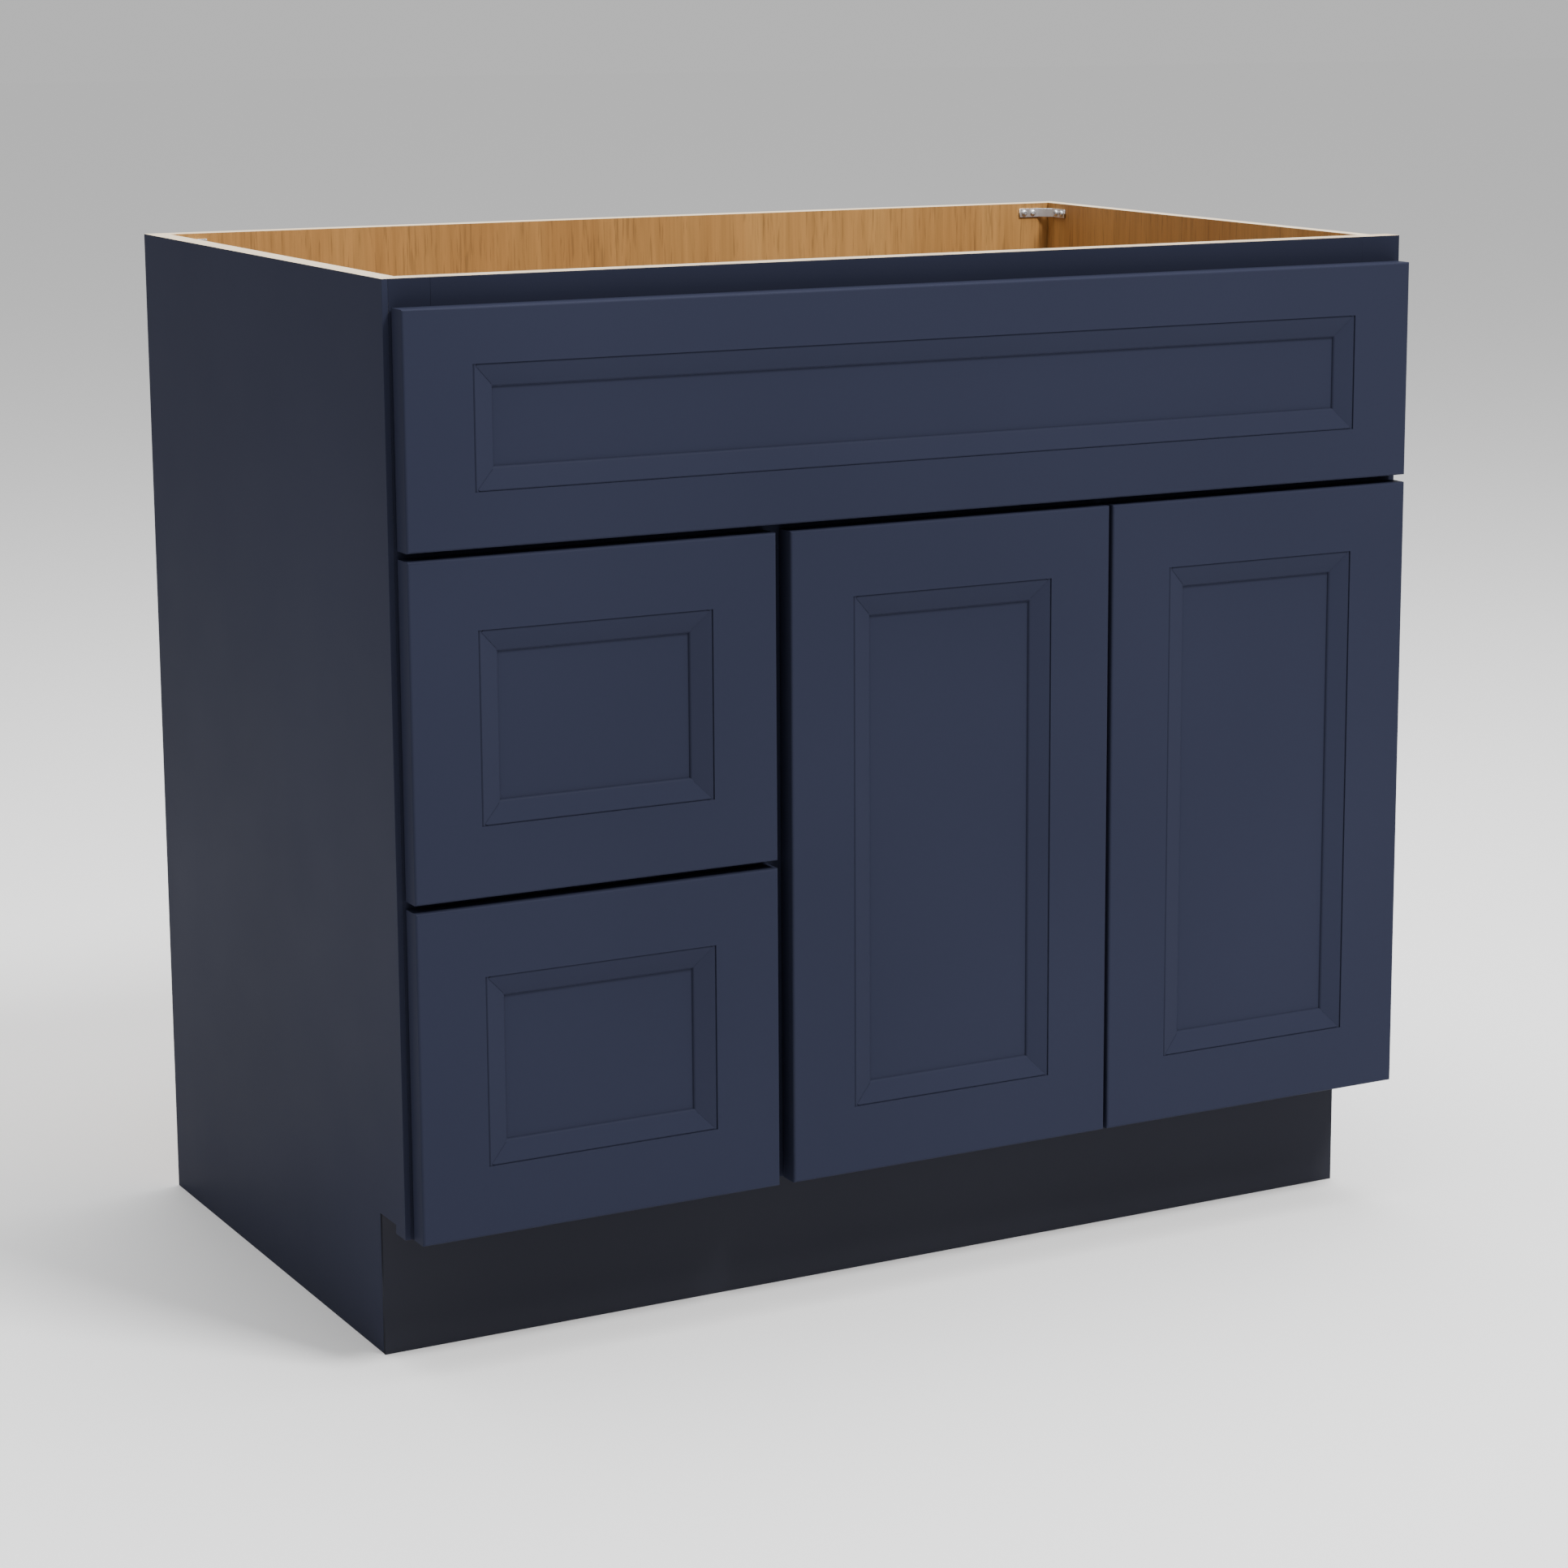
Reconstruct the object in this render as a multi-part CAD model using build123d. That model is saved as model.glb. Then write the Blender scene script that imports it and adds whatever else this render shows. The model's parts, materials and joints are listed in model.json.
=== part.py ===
from build123d import *
import math
import os

# Bathroom vanity base cabinet: face frame, false front, two drawers, two doors, open top.
# Millimetres. +X is to the right seen from the front, +Y to the back, +Z up.
# The origin is on the floor, under the centre of the box that holds the whole cabinet.

os.makedirs("parts", exist_ok=True)

# ---------------------------------------------------------------- overall sizes
WIDTH = 914.4            # over the face frame and the finished left end
DEPTH = 533.4            # face frame front to the wall
HEIGHT = 838.2           # floor to the open top

# ---------------------------------------------------------------- sheet and frame stock
PLY = 12.7               # side panels, floor, partition, toe board
BACK_THICK = 15.0        # back panel
SKIN = 4.8               # finished end skin on the left side
TOE_SKIN = 3.2           # finished skin on the toe kick
FRAME_THICK = 19.05      # face frame members, front to back
MEMBER = 38.1            # width of every face frame member
TENON_LONG = 12.0        # tenon length into the neighbouring member
TENON_THICK = 6.35       # tenon thickness, centred in the member
TENON_SHOULDER = 6.0     # shoulder above and below a tenon
DADO = 6.0               # depth of the housings that hold the cabinet floor

# ---------------------------------------------------------------- toe kick and frame heights
NOTCH_HEIGHT = 114.3     # toe notch in the sides
NOTCH_DEPTH = 50.8       # from the frame front to the edge of the notch
FRAME_BOTTOM = 107.0     # lower edge of the face frame
RIGHT_OVERHANG = 15.9    # right stile past the right side panel

# ---------------------------------------------------------------- drawer fronts and doors
FRONT_THICK = 19.05
FRONT_GAP = 2.0          # air between a front and the face frame
FRONT_TOP = 817.0        # top of the false front
ROW_GAP = 6.2            # between fronts, one above the other
LEFT_REVEAL = 6.35
RIGHT_REVEAL = 3.95
DRAWER_WIDTH = 304.8
DRAWER_HEIGHT = 259.3
COLUMN_GAP = 12.7        # drawer fronts to the left door
DOOR_GAP = 3.2           # between the doors
ARRIS = 2.0              # rounding of the outer front edge
FLAT = 55.0              # flat part of a stile or rail, up to the bevel
FALSE_RAIL_FLAT = 42.0   # the same on the false front's rails
BEVEL = 18.0             # width of the bevelled inner edge
QUIRK = (1.6, 1.4)       # narrow groove where the bevel starts: width, depth
BEVEL_START = 0.5        # depth of the bevel at the quirk
BEVEL_DROP = 5.2         # depth of the bevel before its rounded lip
LIP = 2.2                # width of the rounded lip
PANEL_DEPTH = 7.5        # panel face below the front face
PANEL_THICK = 6.35
GROOVE = 9.5             # depth of the panel groove
PANEL_PLAY = 1.0         # panel edge to the bottom of its groove
LIP_BULGE = (0.3, 0.8)   # middle of the lip: share of its width from the edge, drop below its start

# ---------------------------------------------------------------- drawer boxes and slides
BOX_WIDTH = 234.95
BOX_LENGTH = 457.2
BOX_HEIGHT = 177.8
BOX_WALL = 12.7
BOX_LIFT = 14.0          # box above the frame member under its opening
BOX_BOTTOM_THICK = 6.35
BOX_BOTTOM_RISE = 12.7   # underside of the bottom above the box's lower edge
DOVETAILS = 5
PIN_NARROW = 4.0         # half height of a dovetail pin at the board's end
PIN_WIDE = 6.1           # the same one wall further in
FRONT_SCREW_SIDE = 60.0  # front screws left and right of the box's middle
FRONT_SCREW_HEIGHTS = {"lower": (58.0, 211.0), "upper": (55.5, 197.5)}   # above the front's lower edge
SLIDE_LENGTH = 450.0
SLIDE_SETBACK = 3.0      # slide's front end behind the frame front
SLIDE_DEPTH = 12.7       # thickness of a slide, wall to drawer box
SLIDE_SHEET = 1.2
SLIDE_RISE = 64.0        # slide centre above the box's lower edge
SLIDE_HALF = {"cabinet": 22.5, "middle": 17.5, "drawer": 12.5}
SLIDE_FROM_WALL = {"cabinet": (0.0, 9.0), "middle": (3.6, 10.8), "drawer": (6.0, SLIDE_DEPTH)}
SLIDE_SCREWS = (0.12, 0.5, 0.88)     # along the slide, as shares of its length
SLIDE_END_PLAY = 1.0     # drawer member's end to the box's rear
PACKING_HEIGHT = 80.0

# ---------------------------------------------------------------- hinges
# Points on a hinge are (x, y): x from the door's hinged edge into the opening, y back from the door's face.
HINGE_INSET = 90.0       # hinge centre from the door's top and bottom
CUP_RADIUS = 17.5
CUP_DEPTH = 12.0
CUP_WALL = 1.0
CUP_PAST_FRAME = 10.0    # cup centre past the frame's inner edge
CUP_PIN_SHIFT = 1.5      # cup pin past the cup centre
CUP_PIN_DEPTH = 13.5
FLANGE_THICK = 1.2
CUP_RIM = 1.5            # flange past the cup's edge
CUP_EAR_HALF = (8.0, 30.0)   # flange ears: half width, half height
CUP_SCREW_SIDE = 24.0    # cup screws above and below its middle
VIRTUAL_AXIS = (6.0, 0.0)    # the line that the door turns about
ARM_PIVOT = (39.0, 25.5)     # fixed pivot on the frame plate
HINGE_PLATE = 1.2
PLATE_HALF = 22.0        # half height of the frame plate
PLATE_MARGIN = 2.0       # frame plate's edges to the frame's faces
PLATE_SCREW_SIDE = 15.0  # frame plate's screws above and below its middle
PIN_RADIUS = 1.2
PIN_PLAY = 0.06
LINK_HALF = 2.0          # half width of a link's bar
BOSS_RADIUS = 3.0
CENTRE_LINK_HALF = 3.0   # half height of the centre link
CHEEK_LOW = 3.4          # frame plate's cheeks, from the hinge's middle
OUTER_LINK_LOW = 5.8     # outer links, from the hinge's middle
LINK_SHEET = 2.0

# ---------------------------------------------------------------- braces, brackets, screws, bumpers
BRACE_REACH = 32.0       # brace leg's end from the corner
BRACE_CHAMFER = 11.0     # where the brace leaves the wall to cross the corner
BRACE_HEIGHT = 8.0
BRACE_SHEET = 1.6
BRACE_BELOW_RIM = 5.0
BRACE_SCREWS = (27.0, 17.5)
BRACKET_LEG = 20.0
BRACKET_WIDTH = 30.0
BRACKET_SHEET = 1.5
BRACKET_SIDE = 256.0     # brackets left and right of the cabinet's middle
BRACKET_HOLE = 12.4      # screw hole from the bracket's bend
SCREW_HEAD = 3.2
SCREW_HEAD_THICK = 1.4
FLAT_HEAD_THICK = 1.2    # slide screws' heads
BRACE_HEAD = 2.9
BRACE_HEAD_THICK = 1.8
SCREW_SHANK = 1.8
SCREW_BITE = 10.0        # depth of a screw in a board
PLATE_BITE = 12.0        # the same for the frame plates' screws
CUP_BITE = 8.0           # the same for the cups' screws
BUMPER_RADIUS = 4.0
BUMPER_THICK = 1.7
BUMPER_EDGE = 12.0       # bumpers from a front's upper and lower edges
DOOR_BUMPER_TOP = 8.0    # the same at a door's top
DOOR_BUMPER_SIDE = 14.0  # door bumpers from the free edge
DRAWER_BUMPER_SIDE = 15.0

# ---------------------------------------------------------------- places worked out from the sizes
LEFT = -WIDTH / 2
RIGHT = WIDTH / 2
FRONT_FACE = -(DEPTH + FRONT_GAP + FRONT_THICK) / 2
FRONT_BACK = FRONT_FACE + FRONT_THICK
FRAME_FRONT = FRONT_BACK + FRONT_GAP
FRAME_BACK = FRAME_FRONT + FRAME_THICK
WALL = FRAME_FRONT + DEPTH
BACK_INNER = WALL - BACK_THICK

SIDE_LEFT_OUT = LEFT + SKIN
SIDE_LEFT_IN = SIDE_LEFT_OUT + PLY
SIDE_RIGHT_OUT = RIGHT - RIGHT_OVERHANG
SIDE_RIGHT_IN = SIDE_RIGHT_OUT - PLY

DRAWER_LEFT = LEFT + LEFT_REVEAL
DRAWER_RIGHT = DRAWER_LEFT + DRAWER_WIDTH
DOORS_LEFT = DRAWER_RIGHT + COLUMN_GAP
DOORS_RIGHT = RIGHT - RIGHT_REVEAL
DOOR_WIDTH = (DOORS_RIGHT - DOORS_LEFT - DOOR_GAP) / 2
LOWER_BOTTOM = FRAME_BOTTOM
LOWER_TOP = LOWER_BOTTOM + DRAWER_HEIGHT
UPPER_BOTTOM = LOWER_TOP + ROW_GAP
UPPER_TOP = UPPER_BOTTOM + DRAWER_HEIGHT
FALSE_BOTTOM = UPPER_TOP + ROW_GAP

MULLION_LEFT = DRAWER_RIGHT + COLUMN_GAP / 2 - MEMBER / 2
MULLION_RIGHT = MULLION_LEFT + MEMBER
STILE_LEFT_IN = LEFT + MEMBER
STILE_RIGHT_IN = RIGHT - MEMBER
BOTTOM_RAIL_TOP = FRAME_BOTTOM + MEMBER
DRAWER_RAIL_BOTTOM = LOWER_TOP + ROW_GAP / 2 - MEMBER / 2
DRAWER_RAIL_TOP = DRAWER_RAIL_BOTTOM + MEMBER
SINK_RAIL_BOTTOM = UPPER_TOP + ROW_GAP / 2 - MEMBER / 2
SINK_RAIL_TOP = SINK_RAIL_BOTTOM + MEMBER
TOP_RAIL_BOTTOM = HEIGHT - MEMBER
SLIDE_FRONT = FRAME_FRONT + SLIDE_SETBACK
SLIDE_BACK = SLIDE_FRONT + SLIDE_LENGTH
BOX_LEFT = STILE_LEFT_IN + SLIDE_DEPTH
BOX_RIGHT = BOX_LEFT + BOX_WIDTH
BOX_REAR = FRONT_BACK + BOX_LENGTH

nodes = {}


# ---------------------------------------------------------------- small tools
def block(x0, x1, y0, y1, z0, z1):
    """A rectangular board between two corners."""
    middle = Pos((x0 + x1) / 2, (y0 + y1) / 2, (z0 + z1) / 2)
    return middle * Box(abs(x1 - x0), abs(y1 - y0), abs(z1 - z0))


def prism(plane, points, start, end):
    """A closed outline on a plane, extruded from start to end along the plane's normal."""
    face = plane.offset(start) * make_face(Polyline(*points, close=True))
    return extrude(face, amount=end - start, dir=plane.z_dir)


def rod(start, direction, radius, length):
    """A round bar from a point along a direction."""
    return extrude(Plane(origin=start, z_dir=direction) * Circle(radius), amount=length)


def whole(shape):
    """The one real solid of a cut, without slivers left along a shared edge."""
    return max(shape.solids(), key=lambda solid: solid.volume)


def screw(point, direction, shank, head=SCREW_HEAD, head_thick=SCREW_HEAD_THICK):
    """A pan-head screw: its head stands on the surface at point, its shank runs along direction."""
    back = [-component for component in direction]
    cap = rod(point, back, head, head_thick)
    return cap + rod(point, direction, SCREW_SHANK, shank)


def drill(board, point, direction, depth):
    """A board with the hole that a screw's shank fills."""
    return board - rod(point, direction, SCREW_SHANK, depth)


def add(name, *solids):
    """Files solids under a node; a node may get solids from several places."""
    nodes.setdefault(name, []).extend(solids)


def side_outline(front_bottom):
    """Side panel outline in (Y, Z), with the toe notch and the given lower front corner."""
    notch_back = FRAME_FRONT + NOTCH_DEPTH
    points = [(front_bottom[0], front_bottom[1]), (front_bottom[0], HEIGHT), (WALL, HEIGHT), (WALL, 0)]
    points += [(notch_back, 0), (notch_back, NOTCH_HEIGHT)]
    if front_bottom[1] < NOTCH_HEIGHT:
        points += [(FRAME_BACK, NOTCH_HEIGHT), (FRAME_BACK, front_bottom[1])]
    return points


# ---------------------------------------------------------------- carcass
def make_carcass():
    """Side panels, end skin, floor, back, partition and toe kick."""
    notch_outline = side_outline((FRAME_BACK, NOTCH_HEIGHT))
    left_side = prism(Plane.YZ, notch_outline, SIDE_LEFT_OUT, SIDE_LEFT_IN)
    right_side = prism(Plane.YZ, notch_outline, SIDE_RIGHT_IN, SIDE_RIGHT_OUT)
    skin = prism(Plane.YZ, side_outline((FRAME_FRONT, FRAME_BOTTOM)), LEFT, SIDE_LEFT_OUT)
    floor_low = BOTTOM_RAIL_TOP - PLY
    floor_top = BOTTOM_RAIL_TOP
    floor = block(SIDE_LEFT_IN - DADO, SIDE_RIGHT_IN + DADO, FRAME_BACK, BACK_INNER, floor_low, floor_top)
    left_side -= floor
    right_side -= floor
    back = block(SIDE_LEFT_IN, SIDE_RIGHT_IN, BACK_INNER, WALL, 0, HEIGHT)
    partition = block(MULLION_LEFT, MULLION_LEFT + PLY, FRAME_BACK, BACK_INNER,
                      floor_top, SINK_RAIL_BOTTOM)
    toe_front = FRAME_FRONT + NOTCH_DEPTH
    toe_board = block(SIDE_LEFT_IN, SIDE_RIGHT_IN, toe_front, toe_front + PLY, 0, floor_low)
    toe_skin = block(LEFT, SIDE_RIGHT_OUT, toe_front - TOE_SKIN, toe_front, 0, NOTCH_HEIGHT)
    skin -= toe_skin
    return {"left_side_panel": left_side, "right_side_panel": right_side, "left_end_skin": skin,
            "floor_panel": floor, "back_panel": back, "partition_panel": partition,
            "toe_kick_board": toe_board, "toe_kick_skin": toe_skin}


# ---------------------------------------------------------------- face frame
def frame_member(x0, x1, z0, z1):
    return block(x0, x1, FRAME_FRONT, FRAME_BACK, z0, z1)


def tenon(x0, x1, z0, z1):
    """A tenon in the middle of the frame's thickness."""
    middle = (FRAME_FRONT + FRAME_BACK) / 2
    return block(x0, x1, middle - TENON_THICK / 2, middle + TENON_THICK / 2, z0, z1)


def make_face_frame():
    """Stiles, rails and mullion, joined with mortises and tenons."""
    stile_left_out = LEFT + SKIN
    parts = {
        "left_stile": frame_member(stile_left_out, STILE_LEFT_IN, FRAME_BOTTOM, HEIGHT),
        "right_stile": frame_member(STILE_RIGHT_IN, RIGHT, FRAME_BOTTOM, HEIGHT),
        "centre_mullion": frame_member(MULLION_LEFT, MULLION_RIGHT, BOTTOM_RAIL_TOP, SINK_RAIL_BOTTOM),
    }
    rails = (
        ("top_rail", STILE_LEFT_IN, STILE_RIGHT_IN, TOP_RAIL_BOTTOM, "left_stile", "right_stile"),
        ("sink_rail", STILE_LEFT_IN, STILE_RIGHT_IN, SINK_RAIL_BOTTOM, "left_stile", "right_stile"),
        ("bottom_rail", STILE_LEFT_IN, STILE_RIGHT_IN, FRAME_BOTTOM, "left_stile", "right_stile"),
        ("drawer_rail", STILE_LEFT_IN, MULLION_LEFT, DRAWER_RAIL_BOTTOM, "left_stile", "centre_mullion"),
    )
    for name, x0, x1, bottom, left_post, right_post in rails:
        rail = frame_member(x0, x1, bottom, bottom + MEMBER)
        low, high = bottom + TENON_SHOULDER, bottom + MEMBER - TENON_SHOULDER
        left_tenon = tenon(x0 - TENON_LONG, x0, low, high)
        right_tenon = tenon(x1, x1 + TENON_LONG, low, high)
        parts[left_post] -= left_tenon
        parts[right_post] -= right_tenon
        parts[name] = rail + left_tenon + right_tenon
    x0, x1 = MULLION_LEFT + TENON_SHOULDER, MULLION_RIGHT - TENON_SHOULDER
    lower_tenon = tenon(x0, x1, BOTTOM_RAIL_TOP - TENON_LONG, BOTTOM_RAIL_TOP)
    upper_tenon = tenon(x0, x1, SINK_RAIL_BOTTOM, SINK_RAIL_BOTTOM + TENON_LONG)
    parts["bottom_rail"] -= lower_tenon
    parts["sink_rail"] -= upper_tenon
    parts["centre_mullion"] = parts["centre_mullion"] + lower_tenon + upper_tenon
    return parts


# ---------------------------------------------------------------- five-piece fronts
def front_section(flat):
    """Section of a stile or rail: (w, d), w from its outer edge inwards, d back from the face."""
    inner = flat + BEVEL
    lip_start = (inner - LIP, BEVEL_DROP)
    lip_middle = (inner - LIP * LIP_BULGE[0], BEVEL_DROP + LIP_BULGE[1])
    lip_end = (inner, PANEL_DEPTH)
    groove_back = PANEL_DEPTH + PANEL_THICK
    outside = Polyline((inner, groove_back), (inner, FRONT_THICK), (0, FRONT_THICK), (0, 0), (flat, 0),
                       (flat, QUIRK[1]), (flat + QUIRK[0], BEVEL_START), lip_start)
    lip = ThreePointArc(lip_start, lip_middle, lip_end)
    groove = Polyline(lip_end, (inner - GROOVE, PANEL_DEPTH), (inner - GROOVE, groove_back),
                      (inner, groove_back))
    return make_face(outside + lip + groove)


def placed_section(flat, origin, width_dir, normal):
    """The section on a plane where w runs along width_dir and d runs to the back."""
    return Plane(origin=origin, x_dir=width_dir, z_dir=normal) * front_section(flat)


def make_front(x0, x1, z0, z1, rail_flat=FLAT):
    """Stiles, rails and panel of one front. The rails are coped over the stiles' bevels."""
    height, width = z1 - z0, x1 - x0
    left = extrude(placed_section(FLAT, (x0, FRONT_FACE, z0), (1, 0, 0), (0, 0, 1)),
                   amount=height, dir=(0, 0, 1))
    right = extrude(placed_section(FLAT, (x1, FRONT_FACE, z0), (-1, 0, 0), (0, 0, -1)),
                    amount=height, dir=(0, 0, 1))
    rail_left = x0 + FLAT
    rail_width = width - 2 * FLAT
    low = extrude(placed_section(rail_flat, (rail_left, FRONT_FACE, z0), (0, 0, 1), (-1, 0, 0)),
                  amount=rail_width, dir=(1, 0, 0))
    high = extrude(placed_section(rail_flat, (rail_left, FRONT_FACE, z1), (0, 0, -1), (1, 0, 0)),
                   amount=rail_width, dir=(1, 0, 0))
    low = whole(low - left - right)
    high = whole(high - left - right)
    blank = block(x0, x1, FRONT_FACE, FRONT_BACK, z0, z1)
    front_edges = blank.edges().group_by(Axis.Y)[0]
    blank = fillet(front_edges, radius=ARRIS)
    side_in = FLAT + BEVEL - GROOVE + PANEL_PLAY
    rail_in = rail_flat + BEVEL - GROOVE + PANEL_PLAY
    panel_front = FRONT_FACE + PANEL_DEPTH
    panel = block(x0 + side_in, x1 - side_in, panel_front, panel_front + PANEL_THICK,
                  z0 + rail_in, z1 - rail_in)
    return {"stiles": [left & blank, right & blank], "rails": [low & blank, high & blank], "panel": [panel]}


# ---------------------------------------------------------------- false front brackets
def make_false_brackets(parts, front):
    """Four angle brackets hold the false front to the sink rail and the top rail."""
    seats = ((SINK_RAIL_TOP, 1, "sink_rail", 0), (TOP_RAIL_BOTTOM, -1, "top_rail", 1))
    for x in (-BRACKET_SIDE, BRACKET_SIDE):
        x0, x1 = x - BRACKET_WIDTH / 2, x + BRACKET_WIDTH / 2
        for surface, up, rail, front_rail in seats:
            tip = surface + up * BRACKET_LEG
            flat_leg = block(x0, x1, FRONT_BACK, FRONT_BACK + BRACKET_LEG,
                             surface, surface + up * BRACKET_SHEET)
            back_leg = block(x0, x1, FRONT_BACK, FRONT_BACK + BRACKET_SHEET, surface, tip)
            bracket = flat_leg + back_leg
            into_front = (x, FRONT_BACK + BRACKET_SHEET, surface + up * BRACKET_HOLE)
            into_frame = (x, FRONT_BACK + BRACKET_HOLE, surface + up * BRACKET_SHEET)
            for point, direction in ((into_front, (0, -1, 0)), (into_frame, (0, 0, -up))):
                bracket = drill(bracket, point, direction, BRACKET_SHEET)
                add("cabinet_screws", screw(point, direction, SCREW_BITE))
            rail_of_front = front["rails"][front_rail]
            front["rails"][front_rail] = drill(rail_of_front, into_front, (0, -1, 0), SCREW_BITE)
            parts[rail] = drill(parts[rail], into_frame, (0, 0, -up), SCREW_BITE)
            add("false_front_brackets", bracket)


# ---------------------------------------------------------------- corner braces
def make_corner_braces(parts):
    """Bent steel strips across the four top corners, two screws in each leg."""
    top = HEIGHT - BRACE_BELOW_RIM
    middle = top - BRACE_HEIGHT / 2
    corners = (
        (SIDE_LEFT_IN, BACK_INNER, 1, -1, "left_side_panel", "back_panel"),
        (SIDE_RIGHT_IN, BACK_INNER, -1, -1, "right_side_panel", "back_panel"),
        (SIDE_LEFT_IN, FRAME_BACK, 1, 1, "left_side_panel", "left_stile"),
        (SIDE_RIGHT_IN, FRAME_BACK, -1, 1, "right_side_panel", "right_stile"),
    )
    bend = BRACE_SHEET * math.tan(math.radians(22.5))
    for x, y, into_x, into_y, side, cross in corners:
        outer = [(BRACE_REACH, 0), (BRACE_CHAMFER, 0), (0, BRACE_CHAMFER), (0, BRACE_REACH)]
        inner = [(BRACE_SHEET, BRACE_REACH), (BRACE_SHEET, BRACE_CHAMFER + bend),
                 (BRACE_CHAMFER + bend, BRACE_SHEET), (BRACE_REACH, BRACE_SHEET)]
        points = [(x + into_x * a, y + into_y * b) for a, b in outer + inner]
        brace = prism(Plane.XY, points, top - BRACE_HEIGHT, top)
        for reach in BRACE_SCREWS:
            on_side = (x + into_x * BRACE_SHEET, y + into_y * reach, middle)
            on_cross = (x + into_x * reach, y + into_y * BRACE_SHEET, middle)
            boards = (cross, "top_rail") if cross.endswith("stile") else (cross,)
            side_screw = (on_side, (-into_x, 0, 0), (side,))
            cross_screw = (on_cross, (0, -into_y, 0), boards)
            for point, direction, held in (side_screw, cross_screw):
                brace = drill(brace, point, direction, BRACE_SHEET)
                for board in held:
                    parts[board] = drill(parts[board], point, direction, SCREW_BITE)
                brace_screw = screw(point, direction, SCREW_BITE, BRACE_HEAD, BRACE_HEAD_THICK)
                add("corner_brace_screws", brace_screw)
        add("corner_braces", brace)


# ---------------------------------------------------------------- drawer slides
def channel(member, wall, into, centre, start, end):
    """A folded steel member of a slide: a web and two flanges. The drawer member's web faces the box."""
    near, far = SLIDE_FROM_WALL[member]
    half = SLIDE_HALF[member]
    web = (far - SLIDE_SHEET, far) if member == "drawer" else (near, near + SLIDE_SHEET)
    steel = block(wall + into * web[0], wall + into * web[1], start, end, centre - half, centre + half)
    for low in (centre - half, centre + half - SLIDE_SHEET):
        steel += block(wall + into * near, wall + into * far, start, end, low, low + SLIDE_SHEET)
    return steel


def make_slides(drawer, centre, parts, box_sides):
    """Left and right ball-bearing slides: cabinet, middle and drawer members."""
    walls = ((STILE_LEFT_IN, 1, packing_name(drawer)), (MULLION_LEFT, -1, "partition_panel"))
    for index, (wall, into, board) in enumerate(walls):
        fixed = channel("cabinet", wall, into, centre, SLIDE_FRONT, SLIDE_BACK)
        middle = channel("middle", wall, into, centre, SLIDE_FRONT, SLIDE_BACK)
        moving = channel("drawer", wall, into, centre, SLIDE_FRONT, BOX_REAR - SLIDE_END_PLAY)
        for share in SLIDE_SCREWS:
            y = SLIDE_FRONT + SLIDE_LENGTH * share
            out, inward = (-into, 0, 0), (into, 0, 0)
            on_wall = (wall + into * SLIDE_SHEET, y, centre)
            fixed = drill(fixed, on_wall, out, SLIDE_SHEET)
            parts[board] = drill(parts[board], on_wall, out, SCREW_BITE)
            add("cabinet_screws", screw(on_wall, out, SCREW_BITE, head_thick=FLAT_HEAD_THICK))
            on_box = (wall + into * (SLIDE_DEPTH - SLIDE_SHEET), y, centre)
            moving = drill(moving, on_box, inward, SLIDE_SHEET)
            box_sides[index] = drill(box_sides[index], on_box, inward, SCREW_BITE)
            box_screw = screw(on_box, inward, SCREW_BITE, head_thick=FLAT_HEAD_THICK)
            add(f"{drawer}_drawer_screws", box_screw)
        add("slide_cabinet_members", fixed)
        add(f"{drawer}_slide_middle_members", middle)
        add(f"{drawer}_slide_drawer_members", moving)


def packing_name(drawer):
    return f"{drawer}_packing"


# ---------------------------------------------------------------- drawers
def dovetail_pins(x0, x1, y_end, inward, bottom):
    """The pins of a box corner, narrow at the board's end, between y_end and one wall further in."""
    pitch = BOX_HEIGHT / DOVETAILS
    deep = y_end + inward * BOX_WALL
    top = bottom + BOX_HEIGHT
    pins = []
    for number in range(DOVETAILS + 1):
        centre = bottom + number * pitch
        outline = [(y_end, max(centre - PIN_NARROW, bottom)), (deep, max(centre - PIN_WIDE, bottom)),
                   (deep, min(centre + PIN_WIDE, top)), (y_end, min(centre + PIN_NARROW, top))]
        pins.append(prism(Plane.YZ, outline, x0, x1))
    return pins


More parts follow.
